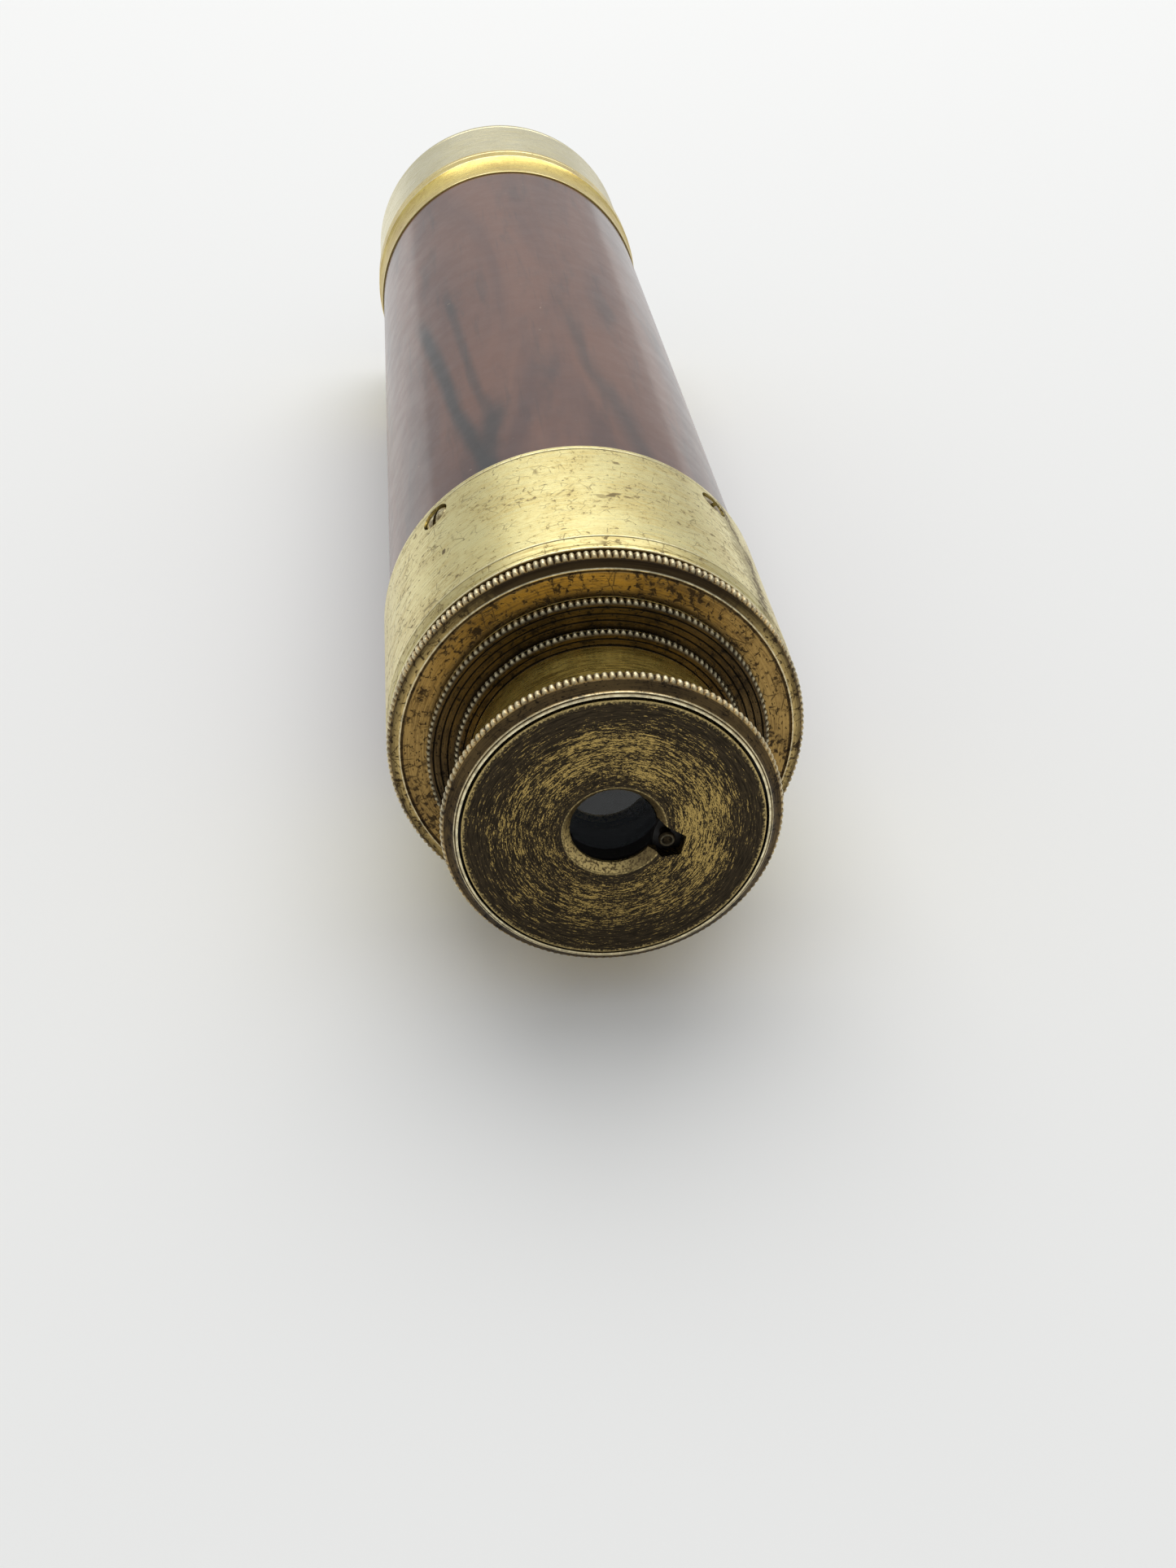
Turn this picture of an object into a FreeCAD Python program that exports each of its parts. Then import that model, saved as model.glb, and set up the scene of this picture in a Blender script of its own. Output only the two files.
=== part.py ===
import FreeCAD, Part
import math
import os
import re
import Sketcher

# A three-draw hand telescope, closed, lying on its side. The optical axis runs along Y: the eye end
# points to -Y, the objective to +Y. The origin lies on the table under the middle of the telescope.
# A station is a distance along the axis, counted from the flat eye face towards the objective.

os.makedirs("parts", exist_ok=True)
doc = FreeCAD.newDocument("hand_telescope")

# ---------------------------------------------------------------- driving sizes, in millimetres
sizes = {
    # radii and walls of the nested tubes, from the eye tube outwards
    "eye_tube_radius": (11.2, "outside of the innermost draw tube"),
    "tube_wall": (0.6, "wall of the three drawn brass tubes"),
    "draw_step": (2.7, "from one draw tube's outside to the next one's"),
    "slide_clearance": (0.1, "between a sliding tube and the bush that guides it"),
    "stop_clearance": (0.3, "between a stop ring and the tube that it runs in"),
    "joint_clearance": (0.05, "between pieces that screw or press together"),
    "bore_margin": (1.2, "from the largest draw tube to the barrel's bore"),
    "wood_wall": (2.5, "wall of the wooden barrel"),
    "rebate_depth": (0.4, "step in the wood under each brass fitting"),
    "collar_wall": (1.1, "wall of the eye end collar over the wood"),
    "flange_lip": (0.5, "how far a draw's knurled flange stands over its own tube"),
    # lengths along the axis
    "barrel_length": (135.0, "the wooden barrel from end to end"),
    "collar_length": (23.5, "eye end collar"),
    "collar_front_wall": (2.2, "the collar's inturned front"),
    "closing_gap": (0.15, "left between two flanges when the telescope is shut"),
    "draw_1_flange_length": (1.3, "knurled flange of the largest draw"),
    "draw_2_flange_length": (0.9, "knurled flange of the middle draw"),
    "guide_rim_length": (2.05, "knurled rim of the ring in the collar"),
    "guide_seam": (0.4, "open groove between the guide ring's rim and the collar"),
    "guide_bush_length": (18.0, "bush that guides the largest draw"),
    "flange_bush_length": (17.0, "bush inside each draw that guides the next one"),
    "stop_ring_length": (5.0, "stop ring at the inner end of each draw"),
    "stop_gap": (0.2, "left between stop ring and bush at full extension"),
    "end_room": (2.5, "from the largest draw to the end of the barrel when shut"),
    "nest_step": (1.5, "each smaller draw ends this much sooner than the one round it"),
    # eye end
    "plate_rim": (1.8, "from the eye plate's edge to the cup's knurled edge"),
    "plate_thickness": (1.2, "eye plate"),
    "eyehole_radius": (4.15, "eyehole below its countersink"),
    "countersink_width": (0.75, "countersink round the eyehole, at the face"),
    "countersink_depth": (0.9, "of the eyehole"),
    "notch_width": (2.6, "finger notch beside the eyehole"),
    "notch_margin": (1.7, "from the stud's centre to the notch's outer end"),
    "notch_angle": (16.0, "degrees that the notch points below the horizontal"),
    "recess_shoulder": (1.0, "ledge that the eye plate rests on, round the shutter's recess"),
    "recess_depth": (1.3, "the recess in which the shutter swings"),
    "cup_floor": (1.5, "web of the eye cup under the shutter"),
    "aperture_margin": (0.65, "hole in that web, larger than the eyehole"),
    "cup_length": (12.2, "eye cup from the eye face to the end of its neck"),
    "cup_flare": (3.2, "from the neck to the cup's knurled edge"),
    "neck_wall": (1.8, "from the eye tube to the outside of the neck"),
    "tube_socket_depth": (6.0, "how far the eye tube goes into the neck"),
    "shutter_thickness": (0.6, "shutter blade"),
    "shutter_overlap": (0.35, "round end of the blade, larger than the eyehole"),
    "shutter_side_gap": (0.25, "between the open blade and the recess round it"),
    "shutter_floor_gap": (0.2, "between the blade and the web under it"),
    "shutter_swing": (62.0, "degrees from open to closed"),
    "boss_radius": (2.1, "blade round the pivot"),
    "pivot_radius": (1.0, "pivot screw's shank"),
    "pivot_head_radius": (1.7, "pivot screw's head"),
    "pivot_head_length": (0.35, "same"),
    "pivot_clearance": (0.05, "between the blade and the pivot screw"),
    "stud_radius": (0.55, "stud on the shutter"),
    "stud_side_gap": (0.12, "between the stud and the eyehole's wall, shutter closed"),
    "stud_head_radius": (0.8, "its cupped end"),
    "stud_head_length": (0.45, "same"),
    "stud_cup_radius": (0.5, "hollow in the stud's end"),
    "stud_cup_depth": (0.3, "same"),
    "stud_sink": (0.15, "how far the stud ends below the eye face"),
    # eyepiece, in the eye tube
    "eyepiece_length": (32.0, "cell that holds the eye lens and the field lens"),
    "eye_lens_radius": (7.0, "eye lens"),
    "eye_lens_edge": (0.72, "thickness of the eye lens at its edge"),
    "eye_lens_curve": (14.0, "radius of its curved face"),
    "cell_lip": (0.8, "lip that a lens rests on"),
    "lens_ring_length": (1.2, "small rings that hold the lenses"),
    "lens_ring_wall": (1.0, "same"),
    "field_lens_edge": (0.86, "thickness of the field lens at its edge"),
    "field_lens_curve": (20.0, "radius of its curved face"),
    "stop_length": (0.8, "stops in the eyepiece and in the erector"),
    "field_stop_radius": (6.2, "opening of the field stop"),
    "field_stop_place": (17.0, "from the front of the eyepiece cell to the field stop"),
    # erector, at the inner end of the eye tube
    "erector_length": (44.0, "cell that holds the two erector lenses"),
    "erector_wall": (1.4, "wall of that cell"),
    "erector_lens_edge": (1.03, "thickness of each erector lens at its edge"),
    "erector_lens_curve": (22.0, "radius of their curved faces"),
    "erector_stop_radius": (2.5, "opening of the stop between them"),
    # objective end
    "objective_lap": (6.3, "how far the objective flange laps the wood"),
    "objective_flange_length": (10.8, "objective flange"),
    "flange_start_lip": (0.2, "objective flange over the wood where it starts"),
    "cell_step": (0.3, "objective cell below the objective flange"),
    "cell_length": (16.8, "objective cell outside its thread"),
    "cell_seam": (0.2, "scribed seam between the flange and the cell"),
    "cell_wall": (1.4, "wall of the objective cell"),
    "spigot_wall": (1.25, "wall of the cell's threaded end"),
    "spigot_length": (2.6, "the cell's threaded end"),
    "seat_place": (3.8, "from the cell's shoulder to the lens seat"),
    "seat_lip": (1.9, "width of the seat round the doublet"),
    "seat_length": (1.5, "thickness of the seat"),
    "crown_edge": (2.0, "thickness of the crown lens at its edge"),
    "crown_front_curve": (130.0, "radius of the crown's outer face"),
    "cemented_curve": (100.0, "radius of the face that crown and flint share"),
    "flint_centre": (2.0, "thickness of the flint lens on the axis"),
    "retainer_length": (2.4, "ring that holds the doublet"),
    # screws and small edges
    "screw_head_radius": (1.5, "collar screws"),
    "screw_head_length": (0.9, "same"),
    "screw_shank_radius": (0.8, "same"),
    "screw_length": (2.4, "same, head included"),
    "screw_slot": (0.4, "width and depth of the slot"),
    "screw_inset": (2.8, "from the collar's rear edge to the screws"),
    "screw_count": (4, "screws round the collar, the first one at 45 degrees"),
    "edge": (0.25, "small bevels on turned edges"),
}


def sag(curve, radius):
    """Height of a spherical cap of that radius, as a formula."""
    return f"({curve} - sqrt({curve} * {curve} - ({radius}) * ({radius})))"


# sizes that follow from the driving ones
layout = {
    "draw_3_radius": "eye_tube_radius",
    "draw_2_radius": "eye_tube_radius + draw_step",
    "draw_1_radius": "draw_2_radius + draw_step",
    "draw_3_bore": "draw_3_radius - tube_wall",
    "draw_2_bore": "draw_2_radius - tube_wall",
    "draw_1_bore": "draw_1_radius - tube_wall",
    "barrel_bore": "draw_1_radius + bore_margin",
    "barrel_radius": "barrel_bore + wood_wall",
    "rebate_radius": "barrel_radius - rebate_depth",
    "collar_radius": "rebate_radius + collar_wall",
    "neck_radius": "eye_tube_radius + neck_wall",
    "cup_radius": "neck_radius + cup_flare",
    "plate_radius": "cup_radius - plate_rim",
    "recess_radius": "plate_radius - recess_shoulder",
    # the shutter opens until its round end nearly meets the recess, and its stud lies in the notch
    "shutter_radius": "eyehole_radius + shutter_overlap",
    "shutter_apart": "recess_radius - shutter_side_gap - shutter_radius",
    "stud_inset": "eyehole_radius - stud_radius - stud_side_gap",
    "stud_reach": "shutter_apart - stud_inset",
    "notch_reach": "stud_reach + notch_margin",
    # stations along the axis
    "draw_2_flange_at": "cup_length + closing_gap",
    "draw_1_flange_at": "draw_2_flange_at + draw_2_flange_length + closing_gap",
    "guide_at": "draw_1_flange_at + draw_1_flange_length + closing_gap",
    "collar_at": "guide_at + guide_rim_length + guide_seam",
    "barrel_at": "collar_at + collar_front_wall",
    "barrel_end": "barrel_at + barrel_length",
    "objective_flange_at": "barrel_end - objective_lap",
    "cell_at": "objective_flange_at + objective_flange_length + cell_seam",
    "overall_length": "cell_at + cell_length",
    "eye_face_y": "-overall_length / 2",
    "draw_3_tube_at": "cup_length - tube_socket_depth",
    "draw_2_tube_at": "draw_2_flange_at + draw_2_flange_length",
    "draw_1_tube_at": "draw_1_flange_at + draw_1_flange_length",
    "draw_1_end": "barrel_end - end_room",
    "draw_2_end": "draw_1_end - nest_step",
    "draw_3_end": "draw_2_end - nest_step",
    "eyepiece_at": "plate_thickness + recess_depth + cup_floor",
    "erector_at": "draw_3_end - erector_length",
    # radii of what sits inside the eye tube
    "eyepiece_radius": "draw_3_bore - joint_clearance",
    "field_lens_radius": "eyepiece_radius - cell_lip",
    "erector_bore": "eyepiece_radius - erector_wall",
    "erector_lens_radius": "erector_bore - joint_clearance",
    # a lens is as thick on the axis as its edge and the height of its curved face
    "eye_lens_centre": "eye_lens_edge + " + sag("eye_lens_curve", "eye_lens_radius"),
    "field_lens_centre": "field_lens_edge + " + sag("field_lens_curve", "field_lens_radius"),
    "erector_lens_centre": "erector_lens_edge + " + sag("erector_lens_curve", "erector_lens_radius"),
    # objective
    "cell_radius": "collar_radius - cell_step",
    "cell_bore": "cell_radius - cell_wall",
    "objective_radius": "cell_bore - joint_clearance",
    "spigot_radius": "rebate_radius - spigot_wall + joint_clearance",
    "seat_radius": "cell_bore - seat_lip",
    "flint_at": "cell_at + seat_place",
    "screw_at": "collar_at + collar_length - screw_inset",
}


def make_sheet():
    """The spreadsheet with the driving sizes, one named row each."""
    sheet = doc.addObject("Spreadsheet::Sheet", "Sizes")
    for row, (alias, (value, note)) in enumerate(sizes.items(), start=1):
        sheet.set(f"A{row}", alias)
        sheet.set(f"B{row}", str(value))
        sheet.set(f"C{row}", note)
        sheet.setAlias(f"B{row}", alias)
    doc.recompute()
    return sheet


def bound(formula):
    """The formula with each size written the way FreeCAD's expressions name it."""
    def full_name(match):
        word = match.group(0)
        if word in sizes:
            return "Sizes." + word
        if word in layout:
            return "Layout." + word
        return word
    return re.sub(r"[a-z][a-z_0-9]*", full_name, formula)


def make_layout():
    """A variable set whose values are worked out from the sheet."""
    varset = doc.addObject("App::VarSet", "Layout")
    for name, formula in layout.items():
        varset.addProperty("App::PropertyFloat", name)
        varset.setExpression(name, bound(formula))
    doc.recompute()
    return varset


sheet = make_sheet()
varset = make_layout()
parts = {}


def value(formula):
    """The number, in millimetres, that a formula gives now."""
    return float(sheet.evalExpression(bound(formula)))


def place(part, label, station, turn=0.0):
    """Put a part on the optical axis at a station, turned about the axis by some degrees."""
    part.Label = label
    part.Placement = FreeCAD.Placement(FreeCAD.Vector(), FreeCAD.Rotation(FreeCAD.Vector(0, 1, 0), turn))
    part.setExpression("Placement.Base.y", bound(f"eye_face_y + {station}"))
    part.setExpression("Placement.Base.z", bound("collar_radius"))
    parts[label] = part
    return part


def origin_plane(body, role):
    return next(item for item in body.Origin.OriginFeatures if item.Role == role)


def new_sketch(body, name, role):
    sketch = body.newObject("Sketcher::SketchObject", name)
    sketch.AttachmentSupport = [(origin_plane(body, role), "")]
    sketch.MapMode = "FlatFace"
    return sketch


def pin_point(sketch, edge, end, formulas):
    """Tie one end of an edge to the sheet by its two distances from the sketch's origin."""
    for kind, formula in zip(("DistanceX", "DistanceY"), formulas):
        constraint = Sketcher.Constraint(kind, -1, 1, edge, end, value(formula))
        number = sketch.addConstraint(constraint)
        sketch.setExpression(f"Constraints[{number}]", bound(formula))


def draw_outline(sketch, outline):
    """A closed outline of straight edges through points given as pairs of formulas."""
    points = [FreeCAD.Vector(value(a), value(b), 0) for a, b in outline]
    count = len(points)
    for number, point in enumerate(points):
        sketch.addGeometry(Part.LineSegment(point, points[(number + 1) % count]), False)
    for number in range(count):
        sketch.addConstraint(Sketcher.Constraint("Coincident", number, 2, (number + 1) % count, 1))
        pin_point(sketch, number, 1, outline[number])


def turned(label, station, outline, turn=0.0):
    """A piece made on the lathe: an outline of (distance along the axis, radius), turned about Y."""
    body = doc.addObject("PartDesign::Body", label + "_body")
    sketch = new_sketch(body, label + "_profile", "YZ_Plane")
    draw_outline(sketch, outline)
    doc.recompute()
    revolution = body.newObject("PartDesign::Revolution", label + "_turning")
    revolution.Profile = sketch
    revolution.ReferenceAxis = (sketch, ["H_Axis"])
    revolution.Angle = 360.0
    sketch.Visibility = False
    return place(body, label, station, turn)


def tube(label, station, length, outer, inner):
    outline = [("0", inner), (length, inner), (length, outer), ("0", outer)]
    return turned(label, station, outline)


def drill(body, name, at, radius, count):
    """Radial holes round a turned piece, the first along the body's own +Z."""
    doc.recompute()
    before = body.Shape.Volume
    sketch = new_sketch(body, name + "_circle", "XY_Plane")
    centre = FreeCAD.Vector(0, value(at), 0)
    sketch.addGeometry(Part.Circle(centre, FreeCAD.Vector(0, 0, 1), value(radius)), False)
    sketch.addConstraint(Sketcher.Constraint("PointOnObject", 0, 3, -2))
    row = sketch.addConstraint(Sketcher.Constraint("DistanceY", -1, 1, 0, 3, value(at)))
    sketch.setExpression(f"Constraints[{row}]", bound(at))
    row = sketch.addConstraint(Sketcher.Constraint("Radius", 0, value(radius)))
    sketch.setExpression(f"Constraints[{row}]", bound(radius))
    hole = body.newObject("PartDesign::Pocket", name)
    hole.Profile = sketch
    hole.Type = "ThroughAll"
    hole.Reversed = True
    sketch.Visibility = False
    doc.recompute()
    pattern = body.newObject("PartDesign::PolarPattern", name + "_round")
    pattern.Originals = [hole]
    pattern.Axis = (origin_plane(body, "Y_Axis"), [""])
    pattern.Angle = 360.0
    pattern.setExpression("Occurrences", bound(count))
    body.Tip = pattern
    doc.recompute()
    if body.Shape.Volume >= before:
        raise RuntimeError(name + " cut nothing")


def cylinder(name, radius, length):
    """A cylinder along Z from its own origin, for use in a boolean."""
    shape = doc.addObject("Part::Cylinder", name)
    shape.setExpression("Radius", bound(radius))
    shape.setExpression("Height", bound(length))
    return shape


def move(shape, x="0", y="0", z="0"):
    for axis, formula in (("x", x), ("y", y), ("z", z)):
        shape.setExpression("Placement.Base." + axis, bound(formula))
    return shape


def ball(name, radius, z):
    """A ball centred on Z, whose surface is a lens face."""
    shape = doc.addObject("Part::Sphere", name)
    shape.setExpression("Radius", bound(radius))
    return move(shape, z=z)


def common(name, *shapes):
    result = doc.addObject("Part::MultiCommon", name)
    result.Shapes = list(shapes)
    return result


def cut(name, base, tool):
    result = doc.addObject("Part::Cut", name)
    result.Base = base
    result.Tool = tool
    return result


def fuse(name, *shapes):
    result = doc.addObject("Part::MultiFuse", name)
    result.Shapes = list(shapes)
    return result


def place_along(part, label, station, flip=False):
    """Put a part that was built along Z on the optical axis, its own +Z towards the objective."""
    place(part, label, station)
    angle = 90.0 if flip else -90.0
    part.Placement.Rotation = FreeCAD.Rotation(FreeCAD.Vector(1, 0, 0), angle)
    return part


def plano_convex(label, station, radius, centre, curve, flip=False):
    """A lens whose flat face lies at the station; its curved face points to the objective, or back."""
    disc = cylinder(label + "_disc", radius, centre)
    face = ball(label + "_face", curve, f"{centre} - {curve}")
    return place_along(common(label + "_glass", disc, face), label, station, flip)


# ---------------------------------------------------------------- barrel: wood, collar, guide
def make_barrel():
    lap_at = "barrel_length - objective_lap"
    rebate_end = "collar_length - collar_front_wall"
    wood = turned("wood_barrel", "barrel_at", [
        ("0", "barrel_bore"),
        ("barrel_length", "barrel_bore"),
        ("barrel_length", "rebate_radius"),
        (lap_at, "rebate_radius"),
        (lap_at, "barrel_radius"),
        (rebate_end, "barrel_radius"),
        (rebate_end, "rebate_radius"),
        ("0", "rebate_radius"),
    ], turn=45.0)
    drill(wood, "wood_pilot_hole", "screw_at - barrel_at", "screw_shank_radius", "screw_count")

    inside = "rebate_radius + joint_clearance"
    scribed = "collar_length - 3 * edge"
    collar = turned("eye_end_collar", "collar_at", [
        ("0", "barrel_bore"),
        ("collar_front_wall", "barrel_bore"),
        ("collar_front_wall", inside),
        ("collar_length", inside),
        ("collar_length", "collar_radius - edge"),
        ("collar_length - edge", "collar_radius"),
        (f"{scribed} + edge", "collar_radius"),
        (f"{scribed} + edge / 2", "collar_radius - edge"),
        (scribed, "collar_radius"),
        ("collar_front_wall - edge", "collar_radius"),
        ("edge", "collar_radius - edge"),
        ("0", "collar_radius - 2 * edge"),
    ], turn=45.0)
    drill(collar, "collar_screw_hole", "screw_at - collar_at",
          "screw_head_radius + joint_clearance", "screw_count")

    bush = "barrel_bore - joint_clearance"
    slide = "draw_1_radius + slide_clearance"
    rim_end = "guide_rim_length"
    bush_end = "guide_rim_length + guide_bush_length"
    turned("barrel_guide_ring", "guide_at", [
        ("0", slide),
        (bush_end, slide),
        (bush_end, bush),
        (rim_end, bush),
        (rim_end, "collar_radius - edge"),
        (f"{rim_end} - edge", "collar_radius"),
        ("guide_rim_length / 2", "collar_radius"),
        ("guide_rim_length / 2 - edge", "collar_radius - edge"),
        ("0", "collar_radius - collar_wall"),
    ])


def make_collar_screws():
    """Slotted screws that hold the collar to the wood, all in one node."""
    screws = []
    for number in range(int(value("screw_count"))):
        name = f"collar_screw_{number + 1}"
        shank = cylinder(name + "_shank", "screw_shank_radius - joint_clearance", "screw_length")
        head = move(cylinder(name + "_head", "screw_head_radius", "screw_head_length"),
                    z="screw_length - screw_head_length")
        slot = doc.addObject("Part::Box", name + "_slot")
        slot.setExpression("Length", bound("3 * screw_head_radius"))
        slot.setExpression("Width", bound("screw_slot"))
        slot.setExpression("Height", bound("screw_slot"))
        move(slot, x="-1.5 * screw_head_radius", y="-screw_slot / 2", z="screw_length - screw_slot")
        screw = cut(name, fuse(name + "_blank", shank, head), slot)
        angle = 45.0 + 360.0 * number / value("screw_count")
        tilt = FreeCAD.Rotation(FreeCAD.Vector(0, 1, 0), angle)
        twist = FreeCAD.Rotation(FreeCAD.Vector(0, 0, 1), 35.0 + 40.0 * number)
        screw.Placement.Rotation = tilt.multiply(twist)
        reach = "collar_radius - screw_length"
        across = math.sin(math.radians(angle))
        upward = math.cos(math.radians(angle))
        move(screw, x=f"({reach}) * {across:.6f}", z=f"({reach}) * {upward:.6f}")
        screws.append(screw)
    group = doc.addObject("Part::Compound", "collar_screw_group")
    group.Links = screws
    place(group, "collar_screws", "screw_at")


# ---------------------------------------------------------------- objective end
def make_objective_flange():
    lap = "objective_lap + joint_clearance"
    start = "barrel_radius + flange_start_lip"
    rise = "objective_flange_length / 3"
    turned("objective_flange", "objective_flange_at", [
        ("0", "rebate_radius + joint_clearance"),
        (lap, "rebate_radius + joint_clearance"),
        (lap, "spigot_radius + joint_clearance"),
        ("objective_flange_length", "spigot_radius + joint_clearance"),
        ("objective_flange_length", "collar_radius - edge"),
        ("objective_flange_length - edge", "collar_radius"),
        (f"objective_flange_length - {rise} / 2", "collar_radius"),
        (rise, f"{start} + edge / 4"),
        ("edge", start),
        ("0", f"{start} - edge / 2"),
    ])


def make_objective_cell():
    seat_back = "seat_place - seat_length"
    spigot_bore = "seat_radius - joint_clearance"
    turned("objective_cell", "cell_at", [
        ("-spigot_length", spigot_bore),
        (seat_back, spigot_bore),
        (seat_back, "seat_radius"),
        ("seat_place", "seat_radius"),
        ("seat_place", "cell_bore"),
        ("cell_length", "cell_bore"),
        ("cell_length", "cell_radius - edge"),
        ("cell_length - edge", "cell_radius"),
        ("0", "cell_radius"),
        ("0", "spigot_radius"),
        ("-spigot_length", "spigot_radius"),
    ])


def make_doublet():
    """Flint against the seat, crown in front of it, both with the same cemented face."""
    cemented = sag("cemented_curve", "objective_radius")
    front = sag("crown_front_curve", "objective_radius")
    blank = cylinder("flint_blank", "objective_radius", f"flint_centre + {cemented}")
    hollow = ball("flint_hollow", "cemented_curve", "flint_centre + cemented_curve")
    place_along(cut("flint_glass", blank, hollow), "flint_lens", "flint_at")

    depth = f"{cemented} + crown_edge + {front}"
    disc = cylinder("crown_disc", "objective_radius", depth)
    back_face = ball("crown_back_face", "cemented_curve", "cemented_curve")
    front_face = ball("crown_front_face", "crown_front_curve", f"{depth} - crown_front_curve")
    glass = common("crown_glass", disc, back_face, front_face)
    place_along(glass, "crown_lens", "flint_at + flint_centre")

    edge_at = f"flint_at + flint_centre + {cemented} + crown_edge"
    rise = f"{front} - {sag('crown_front_curve', 'seat_radius')}"
    tube("objective_retainer", f"{edge_at} + {rise}", "retainer_length",
         "cell_bore - joint_clearance", "seat_radius")


# ---------------------------------------------------------------- draws 1 and 2
def make_draw(number):
    """A draw tube with its knurled flange in front, whose bush guides the next tube, and its stop ring."""
    name = f"draw_{number}"
    next_radius = f"draw_{number + 1}_radius"
    around = "barrel_bore" if number == 1 else "draw_1_bore"
    tube(name + "_tube", name + "_tube_at", f"{name}_end - {name}_tube_at", name + "_radius", name + "_bore")

    slide = next_radius + " + slide_clearance"
    outside = name + "_radius + flange_lip"
    bush = name + "_bore - joint_clearance"
    length = name + "_flange_length"
    bush_end = length + " + flange_bush_length"
    turned(name + "_flange", name + "_flange_at", [
        ("0", slide),
        (bush_end, slide),
        (bush_end, bush),
        (length, bush),
        (length, outside + " - edge"),
        (length + " - edge", outside),
        ("edge", outside),
        ("0", outside + " - edge"),
    ])
    tube(name + "_stop_ring", name + "_end - stop_ring_length", "stop_ring_length",
         around + " - stop_clearance", name + "_radius + joint_clearance")


# ---------------------------------------------------------------- draw 3: eye tube, cup, plate
def make_eye_tube():
    tube("draw_3_tube", "draw_3_tube_at", "draw_3_end - draw_3_tube_at", "draw_3_radius", "draw_3_bore")
    tube("draw_3_stop_ring", "draw_3_end - stop_ring_length", "stop_ring_length",
         "draw_2_bore - stop_clearance", "draw_3_radius + joint_clearance")


def make_eye_cup():
    seat = "plate_radius + joint_clearance"
    floor = "plate_thickness + recess_depth"
    socket = "cup_length - tube_socket_depth"
    aperture = "eyehole_radius + aperture_margin"
    turned("eye_cup", "0", [
        ("edge / 2", seat),
        ("plate_thickness", seat),
        ("plate_thickness", "recess_radius"),
        (floor, "recess_radius"),
        (floor, aperture),
        (floor + " + cup_floor", aperture),
        (floor + " + cup_floor", "eyepiece_radius + joint_clearance"),
        (socket, "eyepiece_radius + joint_clearance"),
        (socket, "eye_tube_radius + joint_clearance"),
        ("cup_length", "eye_tube_radius + joint_clearance"),
        ("cup_length", "neck_radius"),
        (floor + " + 3 * cup_floor", "neck_radius"),
        (floor + " + 2 * cup_floor", "neck_radius + cup_flare / 8"),
        (floor + " + cup_floor", "neck_radius + cup_flare / 3"),
        (floor + " + edge", "cup_radius - 2 * edge"),
        (floor, "cup_radius - edge"),
        (floor + " - edge", "cup_radius"),
        ("plate_thickness", "cup_radius"),
        ("plate_thickness - edge", "cup_radius - edge"),
        ("2 * edge", seat + " + 2 * edge"),
        ("edge / 2", seat + " + edge"),
    ])


def make_eye_plate():
    """The disc that closes the cup: a countersunk eyehole with a finger notch beside it."""
    plate = turned("eye_plate", "0", [
        ("0", "eyehole_radius + countersink_width"),
        ("countersink_depth", "eyehole_radius"),
        ("plate_thickness", "eyehole_radius"),
        ("plate_thickness", "plate_radius"),
        ("edge", "plate_radius"),
        ("0", "plate_radius - edge"),
    ], turn=value("notch_angle"))
    doc.recompute()
    before = plate.Shape.Volume
    sketch = new_sketch(plate, "notch_outline", "XZ_Plane")
    half = "notch_width / 2"
    draw_outline(sketch, [
        ("eyehole_radius / 2", "-" + half),
        ("notch_reach", "-" + half),
        ("notch_reach", half),
        ("eyehole_radius / 2", half),
    ])
    notch = plate.newObject("PartDesign::Pocket", "notch")
    notch.Profile = sketch
    notch.Type = "ThroughAll"
    notch.Midplane = True
    sketch.Visibility = False
    doc.recompute()
    if plate.Shape.Volume >= before:
        raise RuntimeError("the notch cut nothing")


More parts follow.
